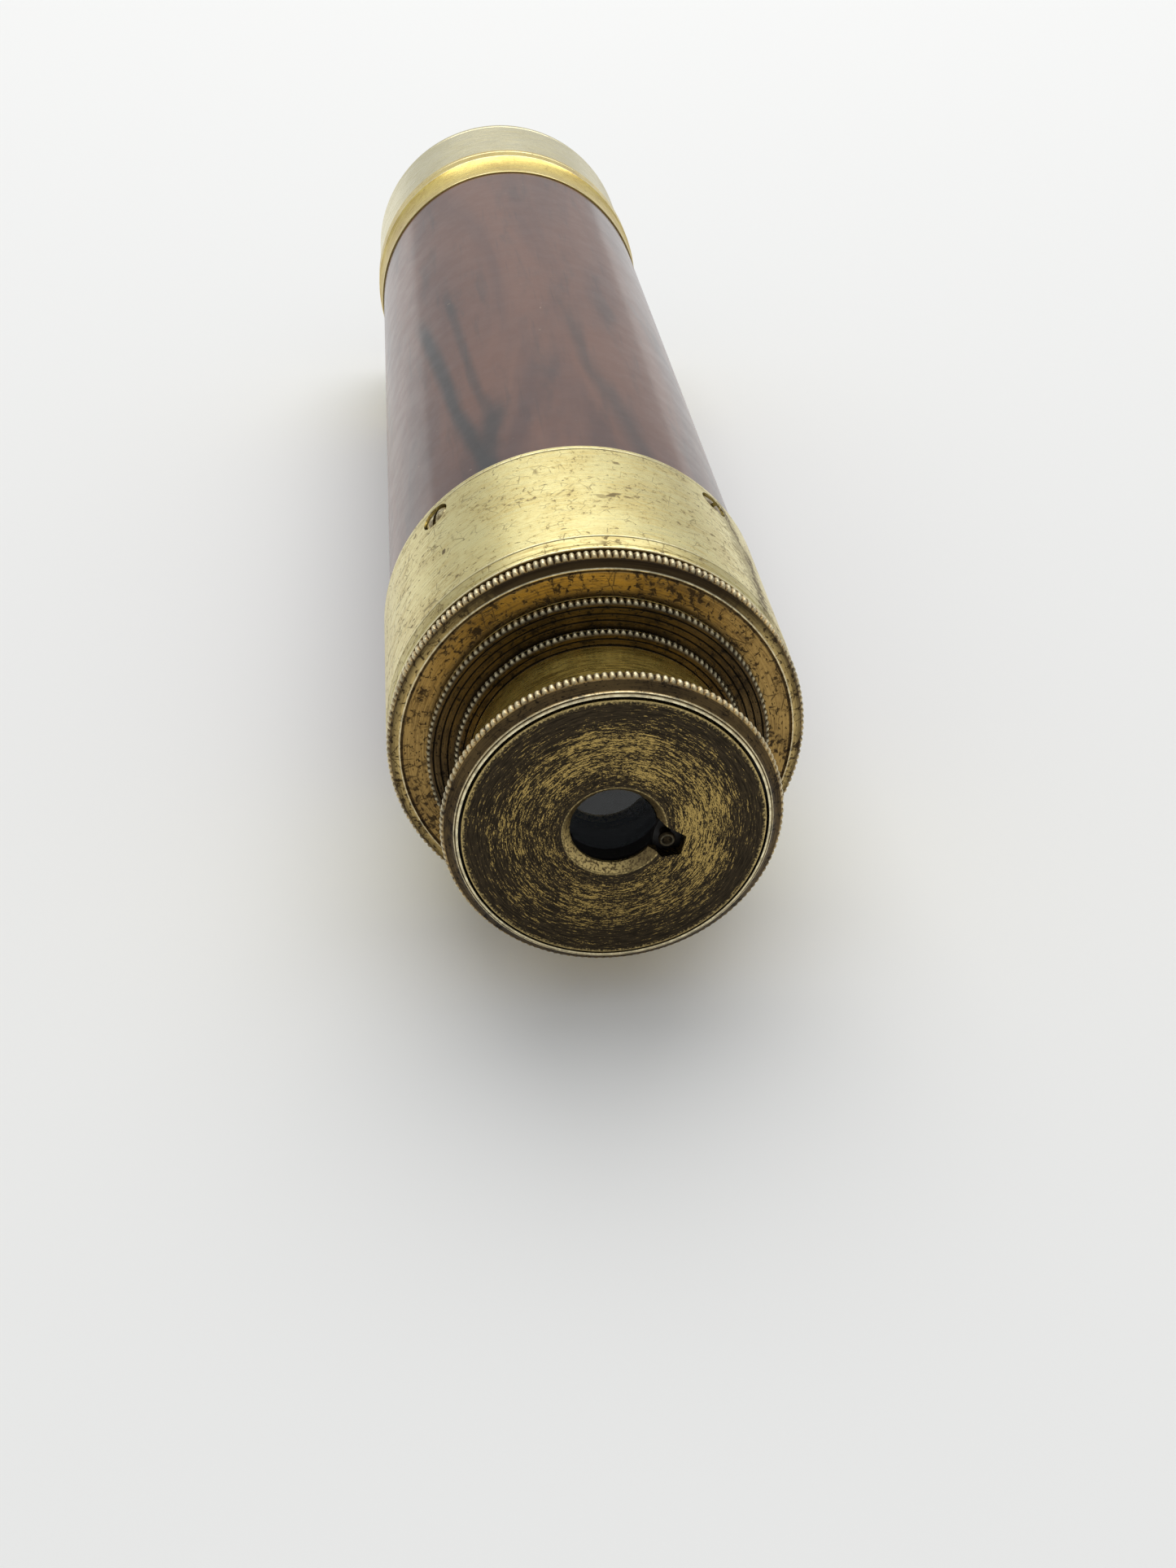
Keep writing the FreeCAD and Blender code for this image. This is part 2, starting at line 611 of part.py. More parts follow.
# ---------------------------------------------------------------- shutter behind the eye plate
def make_shutter():
    """The blade, shown open, and its stud and pivot. X is to the right and Z up, seen from the eye."""
    apart = value("shutter_apart")
    height = apart / 2.0 / math.tan(math.radians(value("shutter_swing") / 2.0))
    lean = math.radians(value("notch_angle"))
    open_x = apart * math.cos(lean)
    open_z = -apart * math.sin(lean)
    pivot_x = open_x / 2.0 + height * math.sin(lean)
    pivot_z = open_z / 2.0 + height * math.cos(lean)
    stud_x = value("stud_reach") * math.cos(lean)
    stud_z = -value("stud_reach") * math.sin(lean)

    blade_at = "plate_thickness + recess_depth - shutter_floor_gap - shutter_thickness"
    axis_y = value("eye_face_y")
    axis_z = value("collar_radius")
    along = FreeCAD.Vector(0, 1, 0)

    def disc(radius, x, z, station, length):
        foot = FreeCAD.Vector(x, axis_y + value(station), axis_z + z)
        return Part.makeCylinder(value(radius), value(length), foot, along)

    # a bar as wide as the pivot boss joins the boss to the round end
    direction = FreeCAD.Vector(open_x - pivot_x, 0, open_z - pivot_z)
    side = FreeCAD.Vector(direction.z, 0, -direction.x).normalize() * value("boss_radius")
    pivot_point = FreeCAD.Vector(pivot_x, axis_y + value(blade_at), axis_z + pivot_z)
    end_point = pivot_point + direction
    corners = [pivot_point + side, end_point + side, end_point - side, pivot_point - side]
    bar = Part.Face(Part.makePolygon(corners + corners[:1])).extrude(along * value("shutter_thickness"))
    blade = disc("shutter_radius", open_x, open_z, blade_at, "shutter_thickness")
    blade = blade.fuse([bar, disc("boss_radius", pivot_x, pivot_z, blade_at, "shutter_thickness")])
    hole = disc("pivot_radius + pivot_clearance", pivot_x, pivot_z, blade_at, "shutter_thickness")
    add_solid("shutter_blade", blade.removeSplitter().cut(hole))

    head_at = "stud_sink"
    stem_at = "stud_sink + stud_head_length"
    stem = disc("stud_radius", stud_x, stud_z, stem_at, f"{blade_at} - ({stem_at})")
    head = disc("stud_head_radius", stud_x, stud_z, head_at, "stud_head_length")
    cup = disc("stud_cup_radius", stud_x, stud_z, head_at, "stud_cup_depth")
    add_solid("shutter_stud", stem.fuse(head).removeSplitter().cut(cup))

    head_at = f"{blade_at} - pivot_clearance - pivot_head_length"
    shank_end = "plate_thickness + recess_depth + cup_floor"
    shank = disc("pivot_radius", pivot_x, pivot_z, head_at, f"{shank_end} - ({head_at})")
    head = disc("pivot_head_radius", pivot_x, pivot_z, head_at, "pivot_head_length")
    add_solid("shutter_pivot_screw", shank.fuse(head).removeSplitter())

    # the threaded hole for the pivot screw in the eye cup's web
    cup_body = parts["eye_cup"]
    sketch = new_sketch(cup_body, "pivot_thread_circle", "XZ_Plane")
    centre = FreeCAD.Vector(pivot_x, pivot_z, 0)
    sketch.addGeometry(Part.Circle(centre, FreeCAD.Vector(0, 0, 1), value("pivot_radius")), False)
    hole = cup_body.newObject("PartDesign::Pocket", "pivot_thread")
    hole.Profile = sketch
    hole.Type = "ThroughAll"
    hole.Midplane = True
    sketch.Visibility = False
    print("shutter pivot at x", round(pivot_x, 3), "z", round(axis_z + pivot_z, 3))


def add_solid(label, shape):
    feature = doc.addObject("Part::Feature", label + "_solid")
    feature.Label = label
    feature.Shape = shape
    feature.Placement = FreeCAD.Placement()
    parts[label] = feature


# ---------------------------------------------------------------- optics in the eye tube
def make_eyepiece():
    front = "cell_lip"
    eye_ring = "eye_lens_radius - lens_ring_wall"
    field_ring = "field_lens_radius - lens_ring_wall"
    lens_end = f"cell_lip + eye_lens_centre - {sag('eye_lens_curve', eye_ring)}"
    ring_end = lens_end + " + lens_ring_length"
    pocket = "eye_lens_radius + joint_clearance"
    field_bore = "field_lens_radius + joint_clearance"
    field_end = f"field_lens_centre - {sag('field_lens_curve', field_ring)}"
    shoulder = f"eyepiece_length - lens_ring_length - ({field_end})"
    turned("eyepiece_cell", "eyepiece_at + joint_clearance", [
        ("0", "eye_lens_radius - cell_lip"),
        (front, "eye_lens_radius - cell_lip"),
        (front, pocket),
        (ring_end, pocket),
        (ring_end, field_bore + " - cell_lip"),
        (shoulder, field_bore + " - cell_lip"),
        (shoulder, field_bore),
        ("eyepiece_length", field_bore),
        ("eyepiece_length", "eyepiece_radius"),
        ("0", "eyepiece_radius"),
    ])
    start = "eyepiece_at + joint_clearance"
    plano_convex("eye_lens", f"{start} + {front}", "eye_lens_radius", "eye_lens_centre", "eye_lens_curve")
    tube("eye_lens_ring", f"{start} + {lens_end}", "lens_ring_length", "eye_lens_radius", eye_ring)
    tube("field_stop", f"{start} + field_stop_place", "stop_length",
         field_bore + " - cell_lip - joint_clearance", "field_stop_radius")
    plano_convex("field_lens", f"{start} + {shoulder}", "field_lens_radius", "field_lens_centre",
                 "field_lens_curve")
    tube("field_lens_ring", f"{start} + {shoulder} + {field_end}", "lens_ring_length",
         "field_lens_radius", field_ring)


def make_erector():
    """Two lenses at the ends of one cell, their curved faces towards the stop between them."""
    inner = "lens_ring_length"
    narrow = "erector_bore - cell_lip"
    seat = f"lens_ring_length + erector_lens_centre - {sag('erector_lens_curve', narrow)}"
    turned("erector_cell", "erector_at", [
        ("0", "erector_bore"),
        (seat, "erector_bore"),
        (seat, narrow),
        (f"erector_length - ({seat})", narrow),
        (f"erector_length - ({seat})", "erector_bore"),
        ("erector_length", "erector_bore"),
        ("erector_length", "eyepiece_radius"),
        ("0", "eyepiece_radius"),
    ])
    lens = "erector_lens_radius"
    ring = f"{lens} - lens_ring_wall"
    tube("rear_erector_ring", "erector_at", "lens_ring_length", lens, ring)
    plano_convex("rear_erector_lens", f"erector_at + {inner}", lens, "erector_lens_centre",
                 "erector_lens_curve")
    tube("erector_stop", "erector_at + erector_length / 2 - stop_length / 2", "stop_length",
         narrow + " - joint_clearance", "erector_stop_radius")
    plano_convex("front_erector_lens", f"draw_3_end - {inner}", lens, "erector_lens_centre",
                 "erector_lens_curve", flip=True)
    tube("front_erector_ring", "draw_3_end - lens_ring_length", "lens_ring_length", lens, ring)


def check_and_export():
    """Stop on any failed object, then write one STEP file per sub-part."""
    doc.recompute()
    for item in doc.Objects:
        if "Invalid" in item.State or "Error" in item.State:
            raise RuntimeError(item.Name + " failed")
    for label, part in parts.items():
        if part.Shape.isNull() or not part.Shape.isValid():
            raise RuntimeError(label + " has no valid shape")
    for label, part in parts.items():
        part.Shape.exportStep(f"parts/{label}.step")
        print(f"{label:22s} solids {len(part.Shape.Solids)}  {part.Shape.Volume:10.1f} mm3")


def print_layout():
    box = parts["eye_end_collar"].Shape.BoundBox
    print("collar diameter", round(box.XLength, 3), " closed length", round(value("overall_length"), 3))
    bushes = {
        1: "guide_at + guide_rim_length + guide_bush_length",
        2: "draw_1_flange_at + draw_1_flange_length + flange_bush_length",
        3: "draw_2_flange_at + draw_2_flange_length + flange_bush_length",
    }
    for number, bush_end in bushes.items():
        travel = value(f"draw_{number}_end - stop_ring_length - stop_gap - ({bush_end})")
        print(f"draw_{number} travel", round(travel, 3))


make_barrel()
make_collar_screws()
make_objective_flange()
make_objective_cell()
make_doublet()
make_draw(1)
make_draw(2)
make_eye_tube()
make_eye_cup()
make_eye_plate()
make_shutter()
make_eyepiece()
make_erector()
check_and_export()
print_layout()
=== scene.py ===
import math

import bmesh
import bpy
from mathutils import Matrix, Vector


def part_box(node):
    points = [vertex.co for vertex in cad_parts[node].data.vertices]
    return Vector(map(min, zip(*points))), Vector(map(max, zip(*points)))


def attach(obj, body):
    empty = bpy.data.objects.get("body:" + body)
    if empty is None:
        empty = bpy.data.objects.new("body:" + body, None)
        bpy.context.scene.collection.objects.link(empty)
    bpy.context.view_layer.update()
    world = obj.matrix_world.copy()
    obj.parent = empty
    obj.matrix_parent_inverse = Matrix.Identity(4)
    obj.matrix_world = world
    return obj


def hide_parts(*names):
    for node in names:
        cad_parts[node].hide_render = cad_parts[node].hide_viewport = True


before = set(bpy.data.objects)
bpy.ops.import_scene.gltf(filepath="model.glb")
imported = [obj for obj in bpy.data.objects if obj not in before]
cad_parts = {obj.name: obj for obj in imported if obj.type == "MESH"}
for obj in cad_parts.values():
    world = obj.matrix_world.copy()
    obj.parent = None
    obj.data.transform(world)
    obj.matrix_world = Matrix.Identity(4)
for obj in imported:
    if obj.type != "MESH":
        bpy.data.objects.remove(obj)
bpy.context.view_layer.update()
print("frame loaded:", len(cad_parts), "nodes")

scene = bpy.context.scene
mm = 0.001
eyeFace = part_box("eye_plate")[0].y      # every station is measured back from here
axisHeight = (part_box("eye_plate")[0].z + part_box("eye_plate")[1].z) / 2


def reach(node):
    # front station, back station and outer radius of a turned node, in millimetres
    low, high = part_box(node)
    return (low.y - eyeFace) / mm, (high.y - eyeFace) / mm, (high.x - low.x) / 2 / mm


# camera and studio
cameraSizes = {
    "pitch": 33.95,                        # degrees down from level
    "heading": 5.79,                       # degrees from +Y towards +X
    "lens": 41.10,
    "sensor": 36,
    "nearest": 0.005,
    "eyePoint": (2.493, 4.469, 166.41),    # the eye face's centre from the lens: right, down, ahead, in mm
}
studio = {
    "floorSide": 8.0,
    "floorColour": (0.845, 0.84, 0.825, 1),
    "floorRoughness": 0.75,
    "floorGloss": 0.2,
    "roomColour": (0.965, 0.985, 1.0, 1),
    "roomStrength": 0.58,
    "softboxSide": 1.4,
    "softboxHeight": 1.05,
    "softboxPower": 10.2,
    "softboxPlace": (0.08, 0.55),
}


def addCamera(sizes):
    pitch = math.radians(sizes["pitch"])
    heading = math.radians(sizes["heading"])
    up = Vector((0, 0, 1))
    right = Vector((math.cos(heading), -math.sin(heading), 0))
    level = Vector((math.sin(heading), math.cos(heading), 0))
    down = -math.cos(pitch) * up - math.sin(pitch) * level
    ahead = -math.sin(pitch) * up + math.cos(pitch) * level
    across, drop, distance = [part * mm for part in sizes["eyePoint"]]
    place = Vector((0, eyeFace, axisHeight)) - across * right - drop * down - distance * ahead
    lens = bpy.data.cameras.new("camera")
    lens.sensor_fit = "AUTO"
    lens.sensor_width = sizes["sensor"]
    lens.lens = sizes["lens"]
    lens.clip_start = sizes["nearest"]
    camera = bpy.data.objects.new("camera", lens)
    turned = Matrix((right, -down, -ahead)).transposed().to_4x4()
    camera.matrix_world = Matrix.Translation(place) @ turned
    scene.collection.objects.link(camera)
    scene.camera = camera


def addSoftbox(name, place, side, power, aim):
    light = bpy.data.lights.new(name, "AREA")
    light.shape = "SQUARE"
    light.size = side
    light.energy = power
    lamp = bpy.data.objects.new(name, light)
    lamp.location = place
    lamp.rotation_euler = (Vector(aim) - Vector(place)).to_track_quat("-Z", "Y").to_euler()
    scene.collection.objects.link(lamp)


def addFloor(sizes):
    ground = bmesh.new()
    bmesh.ops.create_grid(ground, x_segments=2, y_segments=2, size=sizes["floorSide"] / 2)
    mesh = bpy.data.meshes.new("floor")
    ground.to_mesh(mesh)
    ground.free()
    floor = bpy.data.objects.new("floor", mesh)
    scene.collection.objects.link(floor)
    paper = bpy.data.materials.new("paleFloor")
    paper.use_nodes = True
    shader = paper.node_tree.nodes["Principled BSDF"]
    shader.inputs["Base Color"].default_value = sizes["floorColour"]
    shader.inputs["Roughness"].default_value = sizes["floorRoughness"]
    shader.inputs["Specular IOR Level"].default_value = sizes["floorGloss"]
    mesh.materials.append(paper)


def addRoom(sizes):
    world = bpy.data.worlds.new("room")
    world.use_nodes = True
    back = world.node_tree.nodes["Background"]
    back.inputs["Color"].default_value = sizes["roomColour"]
    back.inputs["Strength"].default_value = sizes["roomStrength"]
    scene.world = world
    x, y = sizes["softboxPlace"]
    place = (x, y, sizes["softboxHeight"])
    addSoftbox("softbox", place, sizes["softboxSide"], sizes["softboxPower"], (0, 0, 0))
    scene.view_settings.view_transform = "Standard"


addCamera(cameraSizes)
addFloor(studio)
addRoom(studio)
print("camera and studio ready")


# small helpers for node trees
def addNode(tree, kind, **settings):
    node = tree.nodes.new(kind)
    for key, setting in settings.items():
        setattr(node, key, setting)
    return node


def plug(tree, source, socket):
    if isinstance(source, bpy.types.NodeSocket):
        tree.links.new(source, socket)
    else:
        socket.default_value = source


def reckon(tree, operation, first, second=0.0, clamp=False):
    node = addNode(tree, "ShaderNodeMath", operation=operation, use_clamp=clamp)
    plug(tree, first, node.inputs[0])
    plug(tree, second, node.inputs[1])
    return node.outputs[0]


def times(tree, first, second):
    return reckon(tree, "MULTIPLY", first, second)


def plus(tree, first, second):
    return reckon(tree, "ADD", first, second)


def minus(tree, first, second):
    return reckon(tree, "SUBTRACT", first, second)


def larger(tree, first, second):
    return reckon(tree, "MAXIMUM", first, second)


def painted(tree, name):
    # the share stored on the vertices: wear with painted highlight, and grime with painted shade
    return addNode(tree, "ShaderNodeAttribute", attribute_name=name).outputs["Fac"]


def ramp(tree, source, low, high, atLow=0.0, atHigh=1.0):
    # atLow below the first threshold, atHigh above the second, smooth between
    node = addNode(tree, "ShaderNodeMapRange", interpolation_type="SMOOTHSTEP")
    for socket, setting in zip(node.inputs, (source, low, high, atLow, atHigh)):
        plug(tree, setting, socket)
    return node.outputs[0]


def blendColour(tree, share, first, second, how="MIX"):
    node = addNode(tree, "ShaderNodeMix", data_type="RGBA", blend_type=how)
    plug(tree, share, node.inputs["Factor"])
    plug(tree, first, node.inputs[6])
    plug(tree, second, node.inputs[7])
    return node.outputs[2]


def noise(tree, vector, scale, detail=2.0, roughness=0.5, distortion=0.0):
    node = addNode(tree, "ShaderNodeTexNoise")
    plug(tree, vector, node.inputs["Vector"])
    settings = {"Scale": scale, "Detail": detail, "Roughness": roughness, "Distortion": distortion}
    for key, setting in settings.items():
        node.inputs[key].default_value = setting
    return node.outputs["Fac"]


def startMaterial(name):
    material = bpy.data.materials.new(name)
    material.use_nodes = True
    tree = material.node_tree
    shader = tree.nodes["Principled BSDF"]
    coordinates = addNode(tree, "ShaderNodeTexCoord")
    centre = addNode(tree, "ShaderNodeMapping")
    centre.inputs["Location"].default_value = (0, -eyeFace, -axisHeight)
    tree.links.new(coordinates.outputs["Object"], centre.inputs["Vector"])
    return material, tree, shader, centre.outputs["Vector"]


def latheParts(tree, place):
    # station, radius and the unit direction round the axis, as the lathe sees a piece
    split = addNode(tree, "ShaderNodeSeparateXYZ")
    tree.links.new(place, split.inputs[0])
    across, station, height = split.outputs
    wide = times(tree, across, across)
    tall = times(tree, height, height)
    radius = larger(tree, reckon(tree, "SQRT", plus(tree, wide, tall)), 0.0002)
    return station, radius, reckon(tree, "DIVIDE", across, radius), reckon(tree, "DIVIDE", height, radius)


def latheVector(tree, parts, around, along):
    # stretches a pattern round the axis: around is strokes per radian, along is strokes per metre
    station, radius, east, north = parts
    depth = plus(tree, station, times(tree, radius, 1.37))
    joined = addNode(tree, "ShaderNodeCombineXYZ")
    plug(tree, times(tree, east, around), joined.inputs[0])
    plug(tree, times(tree, north, around), joined.inputs[1])
    plug(tree, times(tree, depth, along), joined.inputs[2])
    return joined.outputs[0]


def addBump(tree, shader, height, distance, strength=1.0):
    bump = addNode(tree, "ShaderNodeBump")
    bump.inputs["Distance"].default_value = distance
    bump.inputs["Strength"].default_value = strength
    plug(tree, height, bump.inputs["Height"])
    tree.links.new(bump.outputs[0], shader.inputs["Normal"])


def hairlines(tree, place, scale, width):
    # a broken network of hairline scratches
    cells = addNode(tree, "ShaderNodeTexVoronoi", feature="DISTANCE_TO_EDGE")
    plug(tree, place, cells.inputs["Vector"])
    cells.inputs["Scale"].default_value = scale
    line = ramp(tree, cells.outputs["Distance"], 0.0, width, 1.0, 0.0)
    return times(tree, line, ramp(tree, noise(tree, place, scale * 0.7, 2), 0.46, 0.60))


def streak(tree, parts, wander, sizes):
    # a dark band along the piece, for stains and for painted shade: angle in degrees right of the top at one
    # station, lean in degrees per mm
    along, _, east, north = parts
    turn = math.radians(sizes["angle"])
    side = minus(tree, times(tree, east, math.cos(turn)), times(tree, north, math.sin(turn)))
    drift = times(tree, minus(tree, along, sizes["station"] * mm), math.radians(sizes["lean"]) / mm)
    bend = times(tree, minus(tree, wander, 0.5), sizes["wander"])
    side = reckon(tree, "ABSOLUTE", plus(tree, minus(tree, side, drift), bend))
    half = math.radians(sizes["halfWidth"])
    mask = ramp(tree, side, half * sizes["softness"], half, sizes["strength"], 0.0)
    facing = plus(tree, times(tree, east, math.sin(turn)), times(tree, north, math.cos(turn)))
    mask = times(tree, mask, reckon(tree, "GREATER_THAN", facing, 0.0))
    first, last = sizes["span"]
    fade = sizes["fade"]
    mask = times(tree, mask, ramp(tree, along, (first - fade) * mm, first * mm))
    return times(tree, mask, ramp(tree, along, last * mm, (last + fade) * mm, 1.0, 0.0))


# finishes
# painted shade: both sides of the objective flange and cell are darkened, where the light falls off round
# them
sideShade = [
    {"angle": 82.0, "station": 155.0, "lean": 0.0, "wander": 0.2, "halfWidth": 44.0, "softness": 0.3,
     "strength": 0.34, "span": (140.0, 180.0), "fade": 1.0},
    {"angle": -82.0, "station": 155.0, "lean": 0.0, "wander": 0.2, "halfWidth": 44.0, "softness": 0.3,
     "strength": 0.30, "span": (140.0, 158.9), "fade": 0.1},
]
collarMarks = [
    {"angle": 51.5, "station": 36.5, "lean": -0.6, "wander": 0.16, "halfWidth": 2.4, "softness": 0.0,
     "strength": 0.95, "span": (33.0, 39.5), "fade": 2.5},
    {"angle": 55.6, "station": 26.0, "lean": 0.25, "wander": 0.26, "halfWidth": 4.4, "softness": 0.0,
     "strength": 0.95, "span": (19.3, 32.0), "fade": 3.0},
    {"angle": 53.0, "station": 24.0, "lean": -0.2, "wander": 0.45, "halfWidth": 7.0, "softness": 0.0,
     "strength": 0.5, "span": (19.3, 37.0), "fade": 4.0},
    {"angle": 8.2, "station": 28.8, "lean": 2.2, "wander": 0.06, "halfWidth": 1.9, "softness": 0.5,
     "strength": 0.85, "span": (28.3, 29.0), "fade": 0.35},
    {"angle": 4.4, "station": 28.4, "lean": -2.0, "wander": 0.06, "halfWidth": 1.9, "softness": 0.4,
     "strength": 0.55, "span": (28.0, 28.5), "fade": 0.35},
    {"angle": 11.4, "station": 36.8, "lean": 0.0, "wander": 0.03, "halfWidth": 1.2, "softness": 0.5,
     "strength": 0.8, "span": (36.6, 37.0), "fade": 0.25},
    {"angle": -42.6, "station": 28.5, "lean": 0.0, "wander": 0.03, "halfWidth": 0.9, "softness": 0.5,
     "strength": 0.9, "span": (28.1, 28.8), "fade": 0.25},
]
paleBrass = {
    "bright": (0.85, 0.755, 0.355, 1),
    "deep": (0.66, 0.53, 0.20, 1),
    "stainAndShade": (0.12, 0.08, 0.035, 1),
    "cloud": 0.34,
    "speckFrom": 0.615,
    "speckShare": 0.72,
    "pitFrom": 0.66,
    "hairShare": 0.62,
    "roughness": (0.24, 0.38),
    "relief": 0.000012,
    "marksAndShade": collarMarks,
}
cellBrass = {
    "bright": (0.87, 0.80, 0.53, 1),
    "deep": (0.76, 0.68, 0.40, 1),
    "stainAndShade": (0.16, 0.12, 0.07, 1),
    "cloud": 0.30,
    "speckFrom": 0.72,
    "speckShare": 0.5,
    "pitFrom": 0.74,
    "hairShare": 0.15,
    "roughness": (0.22, 0.36),
    "relief": 0.000008,
    "marksAndShade": sideShade,
}
goldBrass = {
    "bright": (0.95, 0.75, 0.21, 1),
    "deep": (0.70, 0.50, 0.12, 1),
    "stainAndShade": (0.08, 0.05, 0.025, 1),
    "cloud": 0.35,
    "speckFrom": 0.68,
    "speckShare": 0.7,
    "pitFrom": 0.68,
    "hairShare": 0.25,
    "roughness": (0.2, 0.36),
    "relief": 0.00001,
    "marksAndShade": sideShade,
}
bronzedBrass = {
    "bright": (0.39, 0.25, 0.082, 1),
    "deep": (0.19, 0.118, 0.042, 1),
    "stainAndShade": (0.035, 0.023, 0.014, 1),
    "cloud": 0.42,
    "speckFrom": 0.575,
    "speckShare": 0.85,
    "pitFrom": 0.62,
    "hairShare": 0.7,
    "roughness": (0.26, 0.44),
    "relief": 0.000014,
    "marksAndShade": [],
}
shadedBrass = {
    **bronzedBrass,
    "bright": (0.58, 0.43, 0.17, 1),
    "deep": (0.36, 0.25, 0.09, 1),
    # painted shade: the top of the guide ring's cone is darkened
    "marksAndShade": [
        {"angle": 4.0, "station": 15.0, "lean": 0.0, "wander": 0.3, "halfWidth": 52.0, "softness": 0.55,
         "strength": 0.93, "span": (14.0, 17.0), "fade": 1.0},
    ],
}
browned = {
    "bright": (0.105, 0.070, 0.031, 1),
    "deep": (0.040, 0.028, 0.016, 1),
    "stainAndShade": (0.012, 0.009, 0.007, 1),
    "cloud": 0.5,
    "speckFrom": 0.60,
    "speckShare": 0.7,
    "pitFrom": 0.62,
    "hairShare": 0.3,
    "roughness": (0.30, 0.5),
    "relief": 0.000016,
    "marksAndShade": [],
}
blackened = {
    **browned,
    "bright": (0.050, 0.036, 0.018, 1),
    "deep": (0.020, 0.015, 0.009, 1),
    "roughness": (0.36, 0.55),
}
tubeBrass = {
    "bright": (0.84, 0.68, 0.29, 1),
    "deep": (0.68, 0.50, 0.17, 1),
    "stainAndShade": (0.20, 0.13, 0.06, 1),
    "cloud": 0.35,
    "speckFrom": 0.72,
    "speckShare": 0.5,
    "pitFrom": 0.72,
    "hairShare": 0.15,
    "roughness": (0.15, 0.28),
    "relief": 0.000006,
    "marksAndShade": [],
}
# the colour of worn edges, pale enough to stand also for the painted highlight on knurl tips
wornEdgeAndHighlight = (0.98, 0.89, 0.60, 1)


def brassFinish(name, tone):
    # turned brass: fine lines round the axis, faint tarnish, small pits, hairlines, bright worn edges that
    # also serve as painted highlights, and bands and grooves of painted shade
    material, tree, shader, place = startMaterial(name)
    parts = latheParts(tree, place)
    lines = noise(tree, latheVector(tree, parts, 5, 5200), 1.0, 3, 0.6)
    strokes = noise(tree, latheVector(tree, parts, 30, 3000), 1.0, 2, 0.5)
    clouds = noise(tree, place, 170.0, 5, 0.62, 0.4)
    fine = noise(tree, place, 1500.0, 3, 0.65, 0.5)
    share = tone["cloud"]
    mixed = plus(tree, times(tree, clouds, share), times(tree, lines, 0.6 - share / 2))
    mixed = plus(tree, mixed, times(tree, fine, 0.4 - share / 2))
    colour = blendColour(tree, ramp(tree, mixed, 0.42, 0.60), tone["bright"], tone["deep"])
    spots = plus(tree, times(tree, fine, 0.75), times(tree, clouds, 0.25))
    speck = ramp(tree, spots, tone["speckFrom"] - 0.05, tone["speckFrom"] + 0.03, 0.0, tone["speckShare"])
    pits = ramp(tree, strokes, tone["pitFrom"], tone["pitFrom"] + 0.06, 0.0, 0.8)
    dirtAndShade = larger(tree, speck, pits)
    dirtAndShade = larger(tree, dirtAndShade, times(tree, hairlines(tree, place, 620.0, 0.05), tone["hairShare"]))
    # marks are stains, and on some tones painted shade: the sides of the objective end and the top of the
    # guide ring's cone
    for sizes in tone["marksAndShade"]:
        dirtAndShade = larger(tree, dirtAndShade, streak(tree, parts, fine, sizes))
    colour = blendColour(tree, dirtAndShade, colour, tone["stainAndShade"])
    wearAndHighlight = painted(tree, "wearAndHighlight")
    grimeAndShadeShare = painted(tree, "grimeAndShade")
    # worn edges and knurl tips brightened: wear and painted highlight
    brightening = times(tree, wearAndHighlight, ramp(tree, fine, 0.36, 0.56, 0.95, 0.6))
    colour = blendColour(tree, brightening, colour, wornEdgeAndHighlight)
    # grime and painted shade in grooves, recesses and knurl valleys
    colour = blendColour(tree, grimeAndShadeShare, colour, tone["stainAndShade"])
    plug(tree, colour, shader.inputs["Base Color"])
    shader.inputs["Metallic"].default_value = 1.0
    low, high = tone["roughness"]
    rough = plus(tree, ramp(tree, lines, 0.3, 0.7, low, high), times(tree, dirtAndShade, 0.25))
    rough = reckon(tree, "ADD", rough, times(tree, grimeAndShadeShare, 0.2), clamp=True)
    plug(tree, rough, shader.inputs["Roughness"])
    height = minus(tree, times(tree, lines, 0.5), dirtAndShade)
    addBump(tree, shader, height, tone["relief"])
    return material


plateFinish = {
    "patina": (0.022, 0.017, 0.011, 1),
    "patinaPale": (0.058, 0.043, 0.025, 1),
    "gold": (0.47, 0.33, 0.105, 1),
    "bright": (0.76, 0.58, 0.24, 1),
    "bare": (0.10, 0.07, 0.035, 1),
    "fleckFrom": 0.594,     # thresholds between patina and bare gold
    "fleckTo": 0.628,
    "thumbWear": 0.098,
    "relief": 0.000022,
    "brushedFrom": 5.6,     # mm from the axis, where the worn rings start and end
    "brushedTo": 13.6,
    "rimFrom": 13.95,
    "rimTo": 14.4,
    "countersink": 4.9,
}


